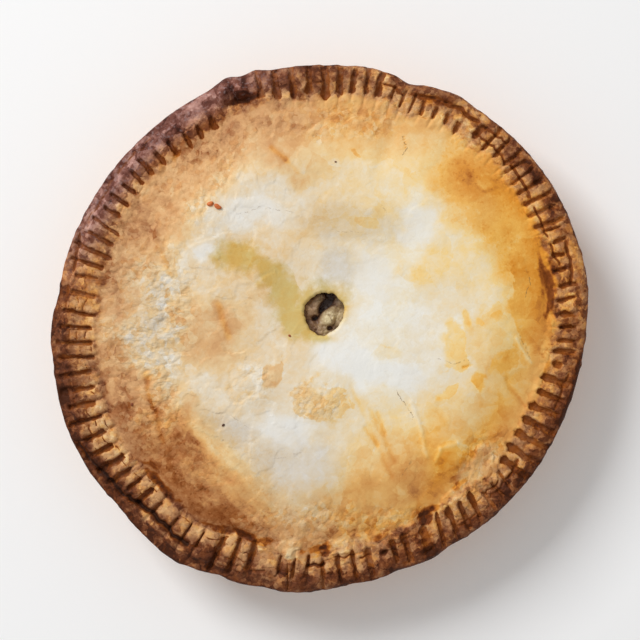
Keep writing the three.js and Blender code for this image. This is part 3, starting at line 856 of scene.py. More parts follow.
# soft browning, and at (60, 5) a painted highlight on a flake: x, y, half length, half width, turn, change
# of bake
BAKE_PATCHES_AND_GLINT = [
    (-50, 0, 20, 18, 0, 0.22), (-40, -4, 6, 12, 15, 0.08), (-45, -14, 14, 9, 0, 0.08),
    (-68, 44, 11, 9, 0, 0.10), (-70, 8, 10, 10, 0, -0.06), (12, 52, 24, 14, 0, 0.08),
    (-5, 34, 26, 10, -10, 0.06), (-32, 22, 18, 10, -30, 0.06), (-8, 82, 36, 13, 0, 0.11),
    (10, 93, 30, 6, 0, 0.08), (-18, 70, 9, 6, -20, 0.2), (76, 34, 9, 13, 0, 0.06),
    (62, 58, 18, 12, -44, 0.21), (84, 54, 26, 11, -46, 0.08), (73, 64, 7, 2.0, -25, 0.09),
    (70, 10, 10, 9, 0, -0.02), (14, -14, 16, 9, -10, -0.18), (-75, -12, 10, 8, 0, -0.06),
    (17, 5, 9, 10, 0, -0.12), (-34, 10, 10, 6, 0, 0.10), (-20, 40, 9, 6, 0, 0.05),
    (-66, 30, 12, 10, 0, 0.05), (34, -18, 20, 9, 0, -0.12), (26, 22, 12, 18, 20, -0.08),
    (44, 45, 11, 11, 30, -0.09), (-28, 52, 20, 8, 5, -0.06), (-52, 33, 5, 7, 0, -0.12),
    (-50, -21, 5, 4, 30, -0.08), (-16, -44, 16, 8, -20, -0.08), (-52, -58, 26, 9, -42, 0.05),
    (-58, -38, 8, 10, 0, 0.16), (35, -62, 22, 15, 0, 0.13), (72, -18, 9, 8, 0, 0.02),
    (47, -84, 3, 7, -25, 0.14), (48, -72, 12, 6, 20, 0.06), (78, -48, 8, 8, 0, 0.05),
    (26, -90, 7, 3, 5, 0.1), (2, -95, 7, 3, 0, 0.1), (38, 2, 16, 9, 0, -0.12), (77, 18, 10, 15, 0, 0.05),
    (52, 80, 18, 8, -30, -0.08), (-82, -26, 8, 14, 0, 0.12), (80, 32, 6, 12, 0, 0.08),
    (-76, 46, 8, 9, 0, 0.05), (-36, -86, 22, 7, -18, 0.06), (-4, -41, 10, 5, 0, -0.04),
    (-35, -40, 8, 5, 0, -0.06), (0, -63, 18, 9, 0, -0.09), (-10, -80, 16, 7, 0, -0.06),
    (-60, 78, 10, 6, -40, 0.09), (-82, 40, 8, 8, 0, 0.06), (-60, -40, 10, 8, 0, 0.06),
    (-80, 0, 14, 32, 0, 0.03), (-74, -44, 13, 11, 0, 0.06), (-58, -60, 14, 9, -42, 0.04),
    (4, 30, 12, 12, 0, -0.10), (-40, -22, 9, 8, 0, -0.05), (60, 30, 10, 13, 0, 0.03),
    (-40, -60, 9, 7, -42, 0.04), (-4, 80, 11, 8, 0, 0.03), (-60, 58, 9, 8, 0, -0.03),
    (60, -2, 7, 7, 0, -0.03), (-1, 6, 12, 12, 0, 0.10), (80, -60, 8, 8, 0, -0.05),
    (81, -18, 9, 9, 0, -0.03), (30, 80, 9, 6, 0, -0.06), (66, -68, 10, 7, 40, -0.05),
    (53, -68, 10, 3.6, 24, 0.06), (61, -60, 12, 10, 20, -0.05), (42, -79, 14, 8, 15, -0.04),
    (68, -46, 14, 9, 0, -0.04), (100, -8, 5, 10, 0, 0.03), (70, -7, 6, 5, 0, 0.05),
    (42, 22, 11, 7, 0, 0.04), (60, 5, 2.4, 5.5, 22, -0.11), (-84, 24, 9, 9, 0, -0.06),
]


def patch_sum(patches, x, y):
    """Adds up soft ellipses, each a bell of the distance from its middle."""
    x, y = torn(x, y, 4.0)
    total = np.zeros_like(x)
    for *shape, strength in patches:
        total += strength * np.exp(-((1.0 - ellipse(x, y, *shape)) ** 2.6))
    return total


def by_angle(rows, column_number, angle):
    """A value read from a list of rows that each begin with an angle, blended between neighbours."""
    rows = np.array(rows)
    return np.interp(angle % 360.0, rows[:, 0], rows[:, column_number], period=360.0)


def crease_bake(x, y):
    """Change of bake along the creases."""
    moved = torn(x, y, 0.8)
    return np.sum([change * crease(*moved, *line, half) for *line, half, _, change in CREASES], axis=0)


def lid_bake(x, y, angle, inward):
    """Bake of the smooth lid: browning that creeps in from the rim, patches and creases."""
    uneven = inward + 5.0 * rough(x, y, 22.0, 151, 4)
    crept = soften(by_angle(CREEP, 3, angle), by_angle(CREEP, 2, angle), uneven)
    bake = MIDDLE_BAKE + (by_angle(CREEP, 1, angle) - MIDDLE_BAKE) * crept + patch_sum(BAKE_PATCHES_AND_GLINT, x, y)
    return bake + crease_bake(x, y) - 0.07 * streaks(x, y)


print("soft patches:", len(BAKE_PATCHES_AND_GLINT))

# %% [markdown]
# Where the lid bubbled it has patches with a clearer edge, and one patch of that kind is painted shade in
# the valley beside the right rim. Fat has soaked the lid near the vent, and some places are grey, floury
# or evenly browned. Most are kept as a distance inside an ellipse, so that the material can choose how
# ragged the edge is.

# %% Blisters, stains and flour
# patches with a clearer edge, one of them painted shade: x, y, half length, half width, turn, change of
# bake
BLISTERS_AND_SHADE = [
    (77, 60, 32, 18, -42, 0.06), (94, 16, 11, 28, 6, 0.15), (51, 34, 5.5, 10, -8, 0.07),
    (42, 22.5, 7, 3, -15, 0.04), (58, -6, 7, 11, 5, 0.13), (76, -4, 14, 11, 0, 0.03),
    (82, -12, 8, 6, 30, 0.09), (70, -21, 4, 4.6, 0, 0.16), (63, 4, 1.8, 5.5, 25, 0.16),
    (70, 3.5, 2.6, 2.8, 0, 0.12), (78, 7, 3.6, 3.2, 0, 0.08), (55, -27, 4.5, 2.8, 25, 0.12),
    (51, -41, 6, 6, 20, 0.06), (58.8, -58, 8.6, 7.6, 18, 0.08), (1, -32, 13, 7.5, -10, 0.15),
    (-21, -20, 7, 3, 68, 0.20), (-34, -24, 5, 7, 10, 0.06), (-67, 17, 1.6, 2.4, 0, 0.16),
    (-64, 9, 1.6, 3.6, 20, 0.14), (-61, 3, 2.4, 1.8, 0, 0.14), (-55, -48, 2.2, 3, 0, 0.12),
    (29, -11, 8, 3, 25, 0.07), (22, 48, 5, 2.6, -10, 0.08), (66, -72, 12, 6, 40, -0.03),
    (74, -60, 6, 7, -30, -0.03), (-12, -97, 4.5, 6, 10, -0.14), (9, -96, 6, 4, 5, -0.10),
    # (99.2, 16, ...) is painted shade in the valley beside the right rim, where the lid dips away from the
    # light
    (17, 77, 2.5, 1.2, -25, 0.12), (99.2, 16, 3.6, 11.5, 4, 0.15), (-47, 83, 14, 10.5, 10, 0.04),
    (-36, 34, 10, 7, -10, 0.05),
]


def strongest(patches, x, y):
    """For patches with an edge: how far inside the nearest one, and its change of bake."""
    x, y = torn(x, y, 2.5)
    inside = np.array([ellipse(x, y, *patch[:5]) for patch in patches])
    change = np.array([patch[5] for patch in patches])
    return inside.max(axis=0), change[inside.argmax(axis=0)]


# soaked with fat, greyish and floury places: x, y, half length, half width, turn
SOAKED_PLACES = [
    (-36, 31, 11, 7, -8), (-24, 24, 12, 6.5, -32), (-15, 15, 8, 12, 20), (-12, 4, 9, 10.5, 10),
    (-5, -1, 8, 6, 20), (-7, 10, 7, 7, 0), (0, -4.5, 6, 4.5, 0),
]

SOAK_EDGE_Y, SOAK_EDGE_X = (8, 13, 18, 25, 33, 40), (20, -5, -8.5, -10.6, -15.6, -24)
SOAKED_RING = (VENT_X, VENT_Y, 15.0, 14.6, 0)  # fat round the vent, given as an ellipse

GREY_PLACES = [
    (16, 47, 26, 11, 0), (-82, 10, 17, 34, 0), (-10, -64, 26, 18, 0), (-38, -44, 14, 8, -30),
    (8, 28, 10, 12, 0),
]

FLOURY_PLACES = [
    (12, -13, 14, 9, -8), (34, -20, 18, 7, 0), (26, 24, 11, 15, 15), (44, 46, 12, 10, 30),
    (-30, 51, 16, 8, 8), (-51, 33, 4, 6, 0), (-16, -43, 15, 8, -20),
]

NOWHERE = -9.0  # far outside any patch

# where the browning is even: x, y, half length, half width, turn, how even
CALM_PLACES = [(-46, -70, 56, 30, -42, 0.8), (-62, 66, 52, 20, 42, 0.7), (76, 52, 46, 20, -52, 0.75)]


def soaked(x, y):
    """How far inside the greasy stain, which ends at a clear line on its upper right, or the ring
    of fat round the vent, which fades at the lower right."""
    limit = np.interp(y, SOAK_EDGE_Y, SOAK_EDGE_X) + 0.8 * rough(x, y, 5.0, 145, 3)
    past_line = soften(-0.4, 0.4, x - limit) * soften(7.5, 9.0, y)
    ring = ellipse(x, y, *SOAKED_RING) - 0.4 * soften(2, 12, x - VENT_X - y + VENT_Y)
    return np.maximum(widest(SOAKED_PLACES, x, y) - 3.0 * past_line, ring)


def calm(x, y):
    """How even the browning is, 0 to 1: the most of what the calm places ask for."""
    asked = [even * soften(-0.15, 0.3, ellipse(x, y, *shape)) for *shape, even in CALM_PLACES]
    return np.max(asked, axis=0)


print("blisters:", len(BLISTERS_AND_SHADE))

# %% [markdown]
# The rim browns most, and each stretch of it in its own way. Its tone is listed by angle and blended
# between neighbours. A few dark spots and pale flakes are added, among them painted shade in hollows,
# under the knob and behind the ridges' inner ends, and painted highlights on the knob's lobes and on small
# bumps.

# %% Browning of the rim
# tone of the rim: angle, bake of its inner part, bake of its outer part, width of that, rosiness
RIM_TONES = [
    (0, 0.77, 0.72, 6, 0.6), (10, 0.64, 0.66, 9, 0.6), (20, 0.63, 0.74, 8, 0.6), (28, 0.55, 0.77, 8, 0.6),
    (36, 0.52, 0.77, 8, 0.65), (43, 0.52, 0.75, 8, 0.65), (48, 0.57, 0.75, 9, 0.7),
    (55, 0.53, 0.64, 6, 0.7), (62, 0.58, 0.80, 9, 0.8), (70, 0.61, 0.76, 6, 0.8),
    (76, 0.66, 0.68, 7, 0.9), (84, 0.71, 0.75, 7, 0.9), (88, 0.78, 0.81, 7, 0.9),
    (95, 0.81, 0.80, 9, 0.9), (103, 0.75, 0.76, 9, 0.9), (106, 0.64, 0.81, 9, 0.8),
    (110, 0.72, 0.82, 9, 0.7), (114, 0.80, 0.77, 8, 0.65), (130, 0.86, 0.77, 7, 0.65),
    (138, 0.81, 0.79, 9, 0.8), (145, 0.76, 0.79, 9, 0.9), (160, 0.70, 0.73, 9, 0.9),
    (168, 0.69, 0.75, 8, 0.6), (173, 0.70, 0.79, 8, 0.7), (182, 0.75, 0.85, 7.5, 0.9),
    (196, 0.74, 0.98, 8.5, 0.9), (205, 0.67, 0.97, 8.5, 0.9), (213, 0.66, 0.96, 9, 0.9),
    (221, 0.74, 0.93, 10, 0.9), (228, 0.81, 0.90, 12, 0.9), (239, 0.77, 0.87, 11.5, 0.9),
    (246, 0.77, 0.85, 10, 0.9), (257, 0.73, 0.80, 9, 0.85), (264, 0.73, 0.81, 9, 0.85),
    (272, 0.66, 0.84, 8, 0.85), (280, 0.68, 0.83, 9, 0.85), (286, 0.82, 0.82, 9, 0.8),
    (290, 0.78, 0.82, 8, 0.8), (296, 0.82, 0.84, 8, 0.7), (300, 0.70, 0.84, 8, 0.7),
    (307, 0.69, 0.83, 8, 0.75), (322, 0.69, 0.84, 7.5, 0.75), (330, 0.69, 0.84, 9.5, 0.75),
    (346, 0.68, 0.85, 8, 0.65), (352, 0.68, 0.79, 8, 0.6),
]

# how far in the rim's tone reaches: angle, distance in
RIM_REACH = [
    (0, 14), (20, 14.5), (40, 14), (60, 14), (90, 15), (115, 15.5), (130, 15.5), (138, 14.8), (150, 15),
    (158, 18.5), (180, 20), (195, 20.5), (205, 19.8), (228, 21.5), (248, 21), (262, 17), (272, 16),
    (275, 20), (280, 20), (283, 15.5), (296, 18), (303, 14.5), (305, 18.5), (315, 18), (319, 14.5),
    (330, 16.5), (350, 14),
]

# dark spots and pale flakes of the rim, among them painted shade in hollows, under the knob and behind the
# ridges' inner ends, and painted highlights on the knob's lobes, on bumps of the lower left lip and beside
# one mark: angle, half width, distance in, half width, change of bake
RIM_SPOTS_AND_PAINTED_LIGHT = [
    (109.6, 3.2, 10.4, 2.4, 0.30), (105.5, 1.2, 10.5, 1.6, 0.20), (110.2, 0.5, 6, 4, 0.12),
    (107, 0.5, 5, 3, 0.12), (108.5, 0.9, 3.5, 1.6, -0.12), (112.2, 1.0, 3.2, 1.5, -0.12),
    (10.2, 7.2, 17.2, 3.0, 0.26), (60.5, 7, 5.6, 1.9, 0.07), (63, 3, 6.5, 2.0, 0.06),
    (296.5, 2.0, 8, 4.5, 0.20), (299.2, 1.7, 17.0, 2.6, 0.36), (303.0, 1.4, 18.4, 1.2, 0.18),
    (301, 1.6, 19.2, 1.5, 0.24), (350.8, 2.4, 14.8, 1.5, 0.10), (286.2, 0.8, 10.2, 1.0, 0.30),
    (228.3, 4.4, 21.4, 1.8, 0.18), (246.5, 6, 21.4, 2.0, 0.20), (256.5, 2.6, 20.6, 1.8, 0.14),
    (268.5, 3.4, 18.4, 2.4, 0.22), (271.8, 1.4, 18.0, 2.8, 0.22), (286, 1.6, 18, 2.4, 0.16),
    (310.5, 3.4, 20.6, 1.6, 0.18), (221, 3.2, 21.0, 1.8, 0.14), (219, 1.9, 24, 2.2, 0.16),
    (344, 8, 0.8, 1.9, 0.22), (323.5, 2.6, 2.4, 2.6, 0.12), (263.0, 1.8, 18, 5, -0.12),
    (277, 4, 17.5, 3.4, -0.14), (309, 5, 15.5, 3.5, -0.13), (238.5, 2.5, 17.4, 1.8, -0.12),
    (228, 4.5, 17.2, 2.2, -0.08), (165.5, 1.0, 14, 1.8, -0.10), (25.5, 1, 4, 3, -0.12),
    (75, 0.5, 3.2, 3.4, -0.20), (53, 2, 2, 2, -0.10), (226.5, 1.4, 7.6, 1.5, -0.18),
    (230, 1.5, 7.2, 1.4, -0.18), (233.8, 1.5, 6.9, 1.4, -0.18), (237, 1.3, 6.4, 1.4, -0.18),
    (213, 5, 2.0, 1.2, -0.10), (6.5, 3, 3, 2, -0.10), (130.8, 1.6, 17.2, 2.0, 0.10),
    (128.9, 0.9, 15.6, 1.6, 0.14),
]


def rim_bake(x, y, angle, inward):
    """Bake of the crimped band: browner outwards, darker in pits and paler on top of the ridges."""
    width = by_angle(RIM_TONES, 3, angle) + 1.2 * rough(x, y, 6.0, 161, 3)
    outer = soften(width + 3.0, width - 3.0, inward)
    bake = by_angle(RIM_TONES, 1, angle) * (1 - outer) + by_angle(RIM_TONES, 2, angle) * outer
    bake += 0.08 * soften(1.3, 0.2, inward) - 0.06 * crumble(x, y) + 0.02
    paler = 0.1 + 0.14 * blocks(angle) * soften(10, 17, inward)
    return bake - paler * (1 - outer) * ridges(angle, inward)


def rim_spots_and_painted_light(x, y, angle, inward):
    """Change of bake at the dark spots and pale flakes, among them painted shade in hollows and painted
    highlights on lumps: bells both ways, with a torn, clear edge.
    """
    ragged = 0.6 * rough(0.8 * angle, inward, 2.4, 165, 4)
    total = np.zeros_like(x)
    for middle, half, place, reach, change in RIM_SPOTS_AND_PAINTED_LIGHT:
        share = bell(turn(middle, angle) / half) * bell((inward - place) / reach)
        total += change * soften(0.1, 0.85, share + ragged * soften(0.05, 0.3, share))
    return total


def mark_darkness(angle, inward):
    """Darkness of the fork marks alone."""
    return fork_marks(angle, inward)[1]


def all_cracks(angle, inward):
    """Depth of the cracks along the rim and across its ridges."""
    return rim_cracks(angle, inward) + (0.6 + 0.6 * blocks(angle)) * cross_cracks(angle, inward)


print("dark and pale spots of the rim:", len(RIM_SPOTS_AND_PAINTED_LIGHT))

# %% [markdown]
# Two browns of one depth can still differ in hue: this crust is golden on the right, rosier on the left,
# and almost mauve along the rim at the upper left, where the mauve is partly the crust's own tone and
# partly painted sheen of the light from that side. So a second number mixes two sets of colours, and a
# third one brings in the mauve and its painted sheen.

# %% Rosy and golden places
# rosy patches of the golden right half: x, y, half length, half width, turn, how rosy
ROSY_PLACES = [(56, -16, 30, 46, 0, 0.45), (26, -64, 30, 32, 0, 0.5), (62, 58, 24, 16, -44, 0.35)]
ROSY_CRUMBS = (71, -64, 18, 9, 44)  # the crumbly band at the lower right, given in the same way
# the mauve band, partly the crust's own tone and partly painted sheen of the light from the upper left,
# lies round this angle
MAUVE_MIDDLE, MAUVE_HALF = 132, 30  # degrees


def rosiness(x, y, angle, inward, on_rim):
    """0 where the brown is golden and 1 where it is rosy: rosier to the left, and golden in blisters."""
    rosy = soften(50, -25, x) * (1 - 0.3 * soften(-0.1, 0.4, ellipse(x, y, *STREAK_ZONE)))
    rosy = np.maximum(rosy, 0.6 * soften(55, 85, y))
    for *shape, strength in ROSY_PLACES:
        rosy = np.maximum(rosy, strength * soften(0.0, 0.5, ellipse(x, y, *shape)))
    rosy = rosy * (1 - 0.5 * soften(0.04, 0.16, crease_bake(x, y)))
    inside, change = strongest(BLISTERS_AND_SHADE, x, y)
    golden = soften(0.02, 0.1, change) * soften(-0.3, 0.1, inside) * soften(0, 40, x)
    rosy = rosy * (1 - golden)
    rosy = np.maximum(rosy, 0.4 * soften(34, 18, inward) * soften(25, -25, y))
    rosy = np.maximum(rosy, 0.75 * soften(-0.2, 0.3, ellipse(*torn(x, y, 2.5), *ROSY_CRUMBS)))
    return rosy * (1 - on_rim) + by_angle(RIM_TONES, 4, angle) * on_rim


print("rosy places:", len(ROSY_PLACES))

# %% [markdown]
# All these numbers are worked out once for each point of the two skins and kept as attributes. A
# material could work them out too, but long lists are slow there, and arrays are quick.

# %% The crust
SIDE_BAKE = 0.55


def crust_fields(points, upper):
    """The numbers the pastry's material reads, one value for each point of the skin."""
    x, y = points[:, 0], points[:, 1]
    angle = np.degrees(np.arctan2(y, x))
    inward = outline(angle) - np.hypot(x, y)
    past = inward + 1.8 * rough(x, y, 5.0, 141, 3) - by_angle(RIM_REACH, 1, angle)
    on_rim = soften(1.8, -1.2, past) * upper
    bake = lid_bake(x, y, angle, inward) * (1 - on_rim) + rim_bake(x, y, angle, inward) * on_rim
    # the rim's spots bring painted shade in hollows and painted highlights on lumps into the bake
    spots = rim_spots_and_painted_light(x, y, angle, inward)
    rosy = rosiness(x, y, angle, inward, on_rim)
    mauve = soften(MAUVE_HALF + 12, MAUVE_HALF - 12, np.abs(turn(MAUVE_MIDDLE, angle)))
    inside, change = strongest(BLISTERS_AND_SHADE, x, y)
    hair_aside, hair_dark = hairlines(x, y)
    outside = upper < 0.5
    return {
        "bake": np.where(outside, SIDE_BAKE, bake + spots),
        "rosy": rosy * (1 - 0.9 * soften(0.03, 0.15, spots)),
        "mauve": mauve * soften(14, 5, inward) * upper,
        "blister": inside,
        "blister_bake": change * upper,
        "soak": np.where(outside, NOWHERE, soaked(x, y)),
        "grey": np.where(outside, NOWHERE, widest(GREY_PLACES, x, y)),
        "flour": np.where(outside, NOWHERE, widest(FLOURY_PLACES, x, y)),
        "mark": near_rim(mark_darkness, angle, inward) * upper,
        "crack": near_rim(all_cracks, angle, inward) * upper,
        "hair_aside": hair_aside,
        "hair_dark": hair_dark * upper,
        # relief also sets painted light on crumb tops and painted shade between them
        "relief": lid_lumps(x, y) * upper * (1 - on_rim),
        "craggy": np.maximum(crags(x, y), on_rim) * upper,
        "on_rim": on_rim,
        "calm": calm(x, y) * (1 - on_rim),
    }


def crust_object(name, skin):
    """One skin of the crust as an object in the crust's place."""
    points, faces, upper = skin.arrays()
    made = mesh_object(name, points, faces, crust_fields(points, upper))
    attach(made, "root")
    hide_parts("crust")
    return made


rim = crust_object("crust_skin", rim_skin)
lid = crust_object("lid_skin", lid_skin)

# %% [markdown]
# The filling is ground meat cooked until it falls into crumbs. Only a coin-sized round of it shows,
# a little under the lid, so its skin has fine rings there and a few wide ones where the crust
# hides it. The crumbs are packed pebbles on top of the larger lumps.

# %% The filling
FILLING_DEPTH = 3.0  # how far the dark between the pieces of meat lies under the lid

# pieces of meat from the vent's middle: x, y, half length, half width, turn, height
MEAT_PIECES = [
    (-5.2, 2.8, 9.0, 5.0, 55, 3.6), (2.4, -2.4, 8.5, 4.2, 42, 3.8), (7.8, -2.4, 6.5, 4.4, 62, 3.0),
    (-5.8, -6.2, 5.6, 4.4, -30, 2.6), (0.2, -8.4, 6.0, 4.4, 10, 2.8), (7.6, 5.4, 4.4, 5.4, 20, 2.2),
]

# gaps between them: x, y, half length, half width, turn, depth
MEAT_GAPS = [
    (0.6, 3.8, 6.0, 2.6, 48, 2.6), (-4.6, -2.2, 2.0, 1.8, 0, 1.6), (2.6, -7.2, 1.5, 1.4, 0, 1.6),
]

FILLING_POINTS = 150
FILLING_SHOWN = 11.0  # radius of the round with fine rings, a little wider than the vent
# the meat's colour is painted lighter with height, as painted light, and is lightest at this height
MEAT_LIGHT = 3.6  # height at which the meat is lightest


def meat(x, y):
    """How high the meat stands over the dark between its pieces: the highest dome, less the gaps."""
    x, y = torn(x - VENT_X, y - VENT_Y, 0.8)
    height = np.zeros_like(x)
    for *shape, rise in MEAT_PIECES:
        height = np.maximum(height, rise * np.sqrt(np.clip(ellipse(x, y, *shape) * 1.4, 0.0, 1.0)))
    for *shape, depth in MEAT_GAPS:
        height = height - depth * soften(0.0, 0.5, ellipse(x, y, *shape))
    return np.clip(height, 0.0, None)


def filling_height(x, y):
    """Height in the vent: the pieces of meat with small crumbs on them."""
    floor = lid_underside(np.array([VENT_X]), np.array([VENT_Y]))[0] - FILLING_DEPTH
    return floor + meat(x, y) + 0.5 * pebbles(x, y, 1.9, 121) + 0.3 * rough(x, y, 1.5, 131, 2)


def make_filling():
    """A closed skin: floor, wall, hidden top and the crumbly round under the vent."""
    skin = Skin()
    angle = polar_grid(FILLING_POINTS)
    skin.zone(np.array([[[0.0, 0.0, PASTRY + GAP]]]))
    skin.zone(around(angle, column([CAVITY_BASE_RADIUS - GAP]), PASTRY + GAP))
    x, y = from_vent(angle, VENT_RADIUS, CAVITY_RADIUS - GAP, column([1.0, 0.67, 0.33]))
    skin.zone(np.stack([x, y, lid_underside(x, y) - GAP], -1))
    rings = around(angle, column(np.linspace(FILLING_SHOWN, 0.2, 44)), 0.0, VENT_X, VENT_Y)
    rings[..., 2] = filling_height(rings[..., 0], rings[..., 1])
    skin.zone(rings)
    skin.zone(np.array([[[VENT_X, VENT_Y, rings[-1, :, 2].mean()]]]))
    points, faces, _ = skin.arrays()
    # the height of the meat becomes painted light on the tops and painted shade between the pieces
    lumps = meat(points[:, 0], points[:, 1]) / MEAT_LIGHT
    pink = soften(1.0, -5.0, points[:, 0] - VENT_X)
    return mesh_object("filling_skin", points, faces, {"lump": lumps, "pink": pink})


filling = make_filling()
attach(filling, "root")
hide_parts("filling")

# %% [markdown]
# A few crumbs lie loose on the lid. Each is a small ball stretched and dented, set into the lid by
# a third of its height, and all of them are one mesh.

# %% Loose crumbs
# x, y, half length, half width, turn, bake
CRUMBS = [
    (-47.6, 54.6, 1.7, 0.9, 20, 0.62), (-44.2, 53.4, 1.6, 1.0, -35, 0.66), (-42, -42, 0.7, 0.5, 30, 0.95),
    (7, 73, 0.5, 0.4, 0, 0.9), (-82, -33, 0.8, 0.6, 60, 0.85), (-13, -3, 0.7, 0.45, -30, 0.8),
]

CRUMB_POINTS, CRUMB_RINGS = 14, 9


def crumb_points(x, y, length, width, turned):
    """A ball of rings, stretched along its turn and dented by noise, standing on the lid."""
    angle, tilt = np.meshgrid(np.radians(polar_grid(CRUMB_POINTS)), np.linspace(-1.4, 1.4, CRUMB_RINGS))
    along, aside, up = np.cos(tilt) * np.cos(angle), np.cos(tilt) * np.sin(angle), np.sin(tilt)
    dent = 1.0 + 0.25 * rough(along + x, aside + up + y, 0.9, 171, 2)
    along, aside, up = length * along * dent, width * aside * dent, 0.8 * width * up * dent
    cos, sin = math.cos(math.radians(turned)), math.sin(math.radians(turned))
    floor = top_height(np.array([x], dtype=float), np.array([y], dtype=float))[0]
    turned_x, turned_y = along * cos - aside * sin, along * sin + aside * cos
    return np.stack([x + turned_x, y + turned_y, floor + 0.3 * width + up], -1)


def make_crumbs():
    """Every crumb from rings that begin and end at a pole, with its bake as an attribute."""
    points, faces, bakes, count = [], [], [], 0
    for *shape, bake in CRUMBS:
        skin = Skin()
        rings = crumb_points(*shape)
        skin.zone(rings[0].mean(axis=0)[None, None])
        skin.zone(rings)
        skin.zone(rings[-1].mean(axis=0)[None, None])
        one_points, one_faces, _ = skin.arrays()
        points.append(one_points)
        faces.append(one_faces + count)
        bakes.append(np.full(len(one_points), bake))
        count += len(one_points)
    fields = {"bake": np.concatenate(bakes)}
    return mesh_object("loose_crumbs", np.concatenate(points), np.concatenate(faces), fields)


crumbs = make_crumbs()
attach(crumbs, "root")
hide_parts("crust")

# %% [markdown]
# Materials are sums written in a small language: a wire is one socket of the shader, and adding or
# multiplying wires adds the node that does it. One method makes any other node.

# %% Shader wires


class Wire:
    """One output socket of a shader tree, used like a number."""

    def __init__(self, tree, socket):
        self.tree = tree
        self.socket = socket

    def make(self, kind, settings=None, inputs=None, output=0):
        """A node of any kind: settings first, then values or wires for its sockets."""
        node = self.tree.nodes.new(kind)
        for name, value in (settings or {}).items():
            setattr(node, name, value)
        for name, value in (inputs or {}).items():
            if isinstance(value, Wire):
                self.tree.links.new(value.socket, node.inputs[name])
            else:
                node.inputs[name].default_value = value
        return Wire(self.tree, node.outputs[output])

    def math(self, operation, first, second=0.0):
        """One sum of two numbers or wires."""
        return self.make("ShaderNodeMath", {"operation": operation}, {0: first, 1: second})

    def vector(self, operation, inputs):
        """One sum of places or directions."""
        return self.make("ShaderNodeVectorMath", {"operation": operation}, inputs)

    def __add__(self, other):
        return self.math("ADD", self, other)

    def __sub__(self, other):
        return self.math("SUBTRACT", self, other)

    def __mul__(self, other):
        return self.math("MULTIPLY", self, other)

    def __truediv__(self, other):
        return self.math("DIVIDE", self, other)

    def __radd__(self, other):
        return self.math("ADD", other, self)

    def __rsub__(self, other):
        return self.math("SUBTRACT", other, self)

    def __rmul__(self, other):
        return self.math("MULTIPLY", other, self)

    def above(self, other):
        """The larger of two values."""
        return self.math("MAXIMUM", self, other)

    def between(self, low, high):
        """0 at low and 1 at high, with a soft S between."""
        inputs = {"Value": self, "From Min": low, "From Max": high}
        return self.make("ShaderNodeMapRange", {"interpolation_type": "SMOOTHSTEP"}, inputs)

    def mixed(self, first, second, blend="MIX"):
        """This wire as the share of the second colour in the first."""
        settings = {"data_type": "RGBA", "clamp_factor": True, "blend_type": blend}
        return self.make("ShaderNodeMix", settings, {0: self, 6: first, 7: second}, 2)

    def noise(self, size, detail=3.0, roughness=0.55):
        """Clouds about as wide as size, when this wire is a place in millimetres."""
        inputs = {"Vector": self, "Scale": 1.0 / size, "Detail": detail, "Roughness": roughness}
        return self.make("ShaderNodeTexNoise", {}, inputs)

    def cells(self, size):
        """A random tone for each of many small cells about as wide as size."""
        return self.make("ShaderNodeTexVoronoi", {}, {"Vector": self, "Scale": 1.0 / size}, "Color")

    def shifted(self, size, reach):
        """This place moved by clouds of that size, up to half of reach each way."""
        inputs = {"Vector": self, "Scale": 1.0 / size, "Detail": 3.0}
        clouds = self.make("ShaderNodeTexNoise", {}, inputs, "Color")
        centred = self.vector("SUBTRACT", {0: clouds, 1: (0.5, 0.5, 0.5)})
        return self.vector("ADD", {0: self, 1: self.vector("SCALE", {0: centred, "Scale": reach})})

    def terraced(self, steps, slope):
        """This wire in flat steps, with a soft slope of that half width between them."""
        scaled = self * steps
        low = self.math("FLOOR", scaled)
        return (low + (scaled - low).between(0.5 - slope, 0.5 + slope)) / steps

    def ramp(self, stops):
        """A colour for each level of this wire, from (level, colour) pairs."""
        made = self.make("ShaderNodeValToRGB", {}, {"Fac": self})
        bar = made.socket.node.color_ramp
        while len(bar.elements) < len(stops):
            bar.elements.new(0.5)
        for element, (level, shade) in zip(bar.elements, stops):
            element.position = level
            element.color = shade
        return made


print("a wire can:", [name for name in vars(Wire) if not name.startswith("_")])

# %% [markdown]
# A material starts as a shader node and one wire that gives places in millimetres. Colours are
# written as they look on a screen, because that is how they are compared with a picture.

# %% Starting a material


def paint(red, green, blue):
    """A colour as seen on a screen, 0 to 255, turned into the light values that shaders use."""
    screen = np.array([red, green, blue]) / 255.0
    light = np.where(screen <= 0.04045, screen / 12.92, ((screen + 0.055) / 1.055) ** 2.4)
    return (*light.tolist(), 1.0)


def new_material(name):
    """An empty material with a shader node, and a first wire that gives places in millimetres."""
    material = bpy.data.materials.new(name)
    material.use_nodes = True
    tree = material.node_tree
    shader = tree.nodes["Principled BSDF"]
    metres = Wire(tree, tree.nodes.new("ShaderNodeTexCoord").outputs["Object"])
    return material, shader, metres.vector("SCALE", {0: metres, "Scale": 1.0 / MM})


def field(wire, name):
    """The attribute of that name as a wire."""
    return wire.make("ShaderNodeAttribute", {"attribute_name": name}, {}, "Fac")


def plug(wire, shader, socket):
    """Links a wire to one of the shader's sockets."""
    wire.tree.links.new(wire.socket, shader.inputs[socket])


print("cream in light values:", np.round(paint(241, 238, 228), 2))

# %% [markdown]
# Noise of several sizes is added to the bake, not to the colour, so that a speck in a golden place
# is a browner gold and never grey. Flat-toned cells stand for flakes, and finer ones for crumbs.

# %% Fine tone of the pastry
FLAKE_SIZE, CRUMB_SIZE, GRAIN_SIZE = 9.0, 4.4, 2.1


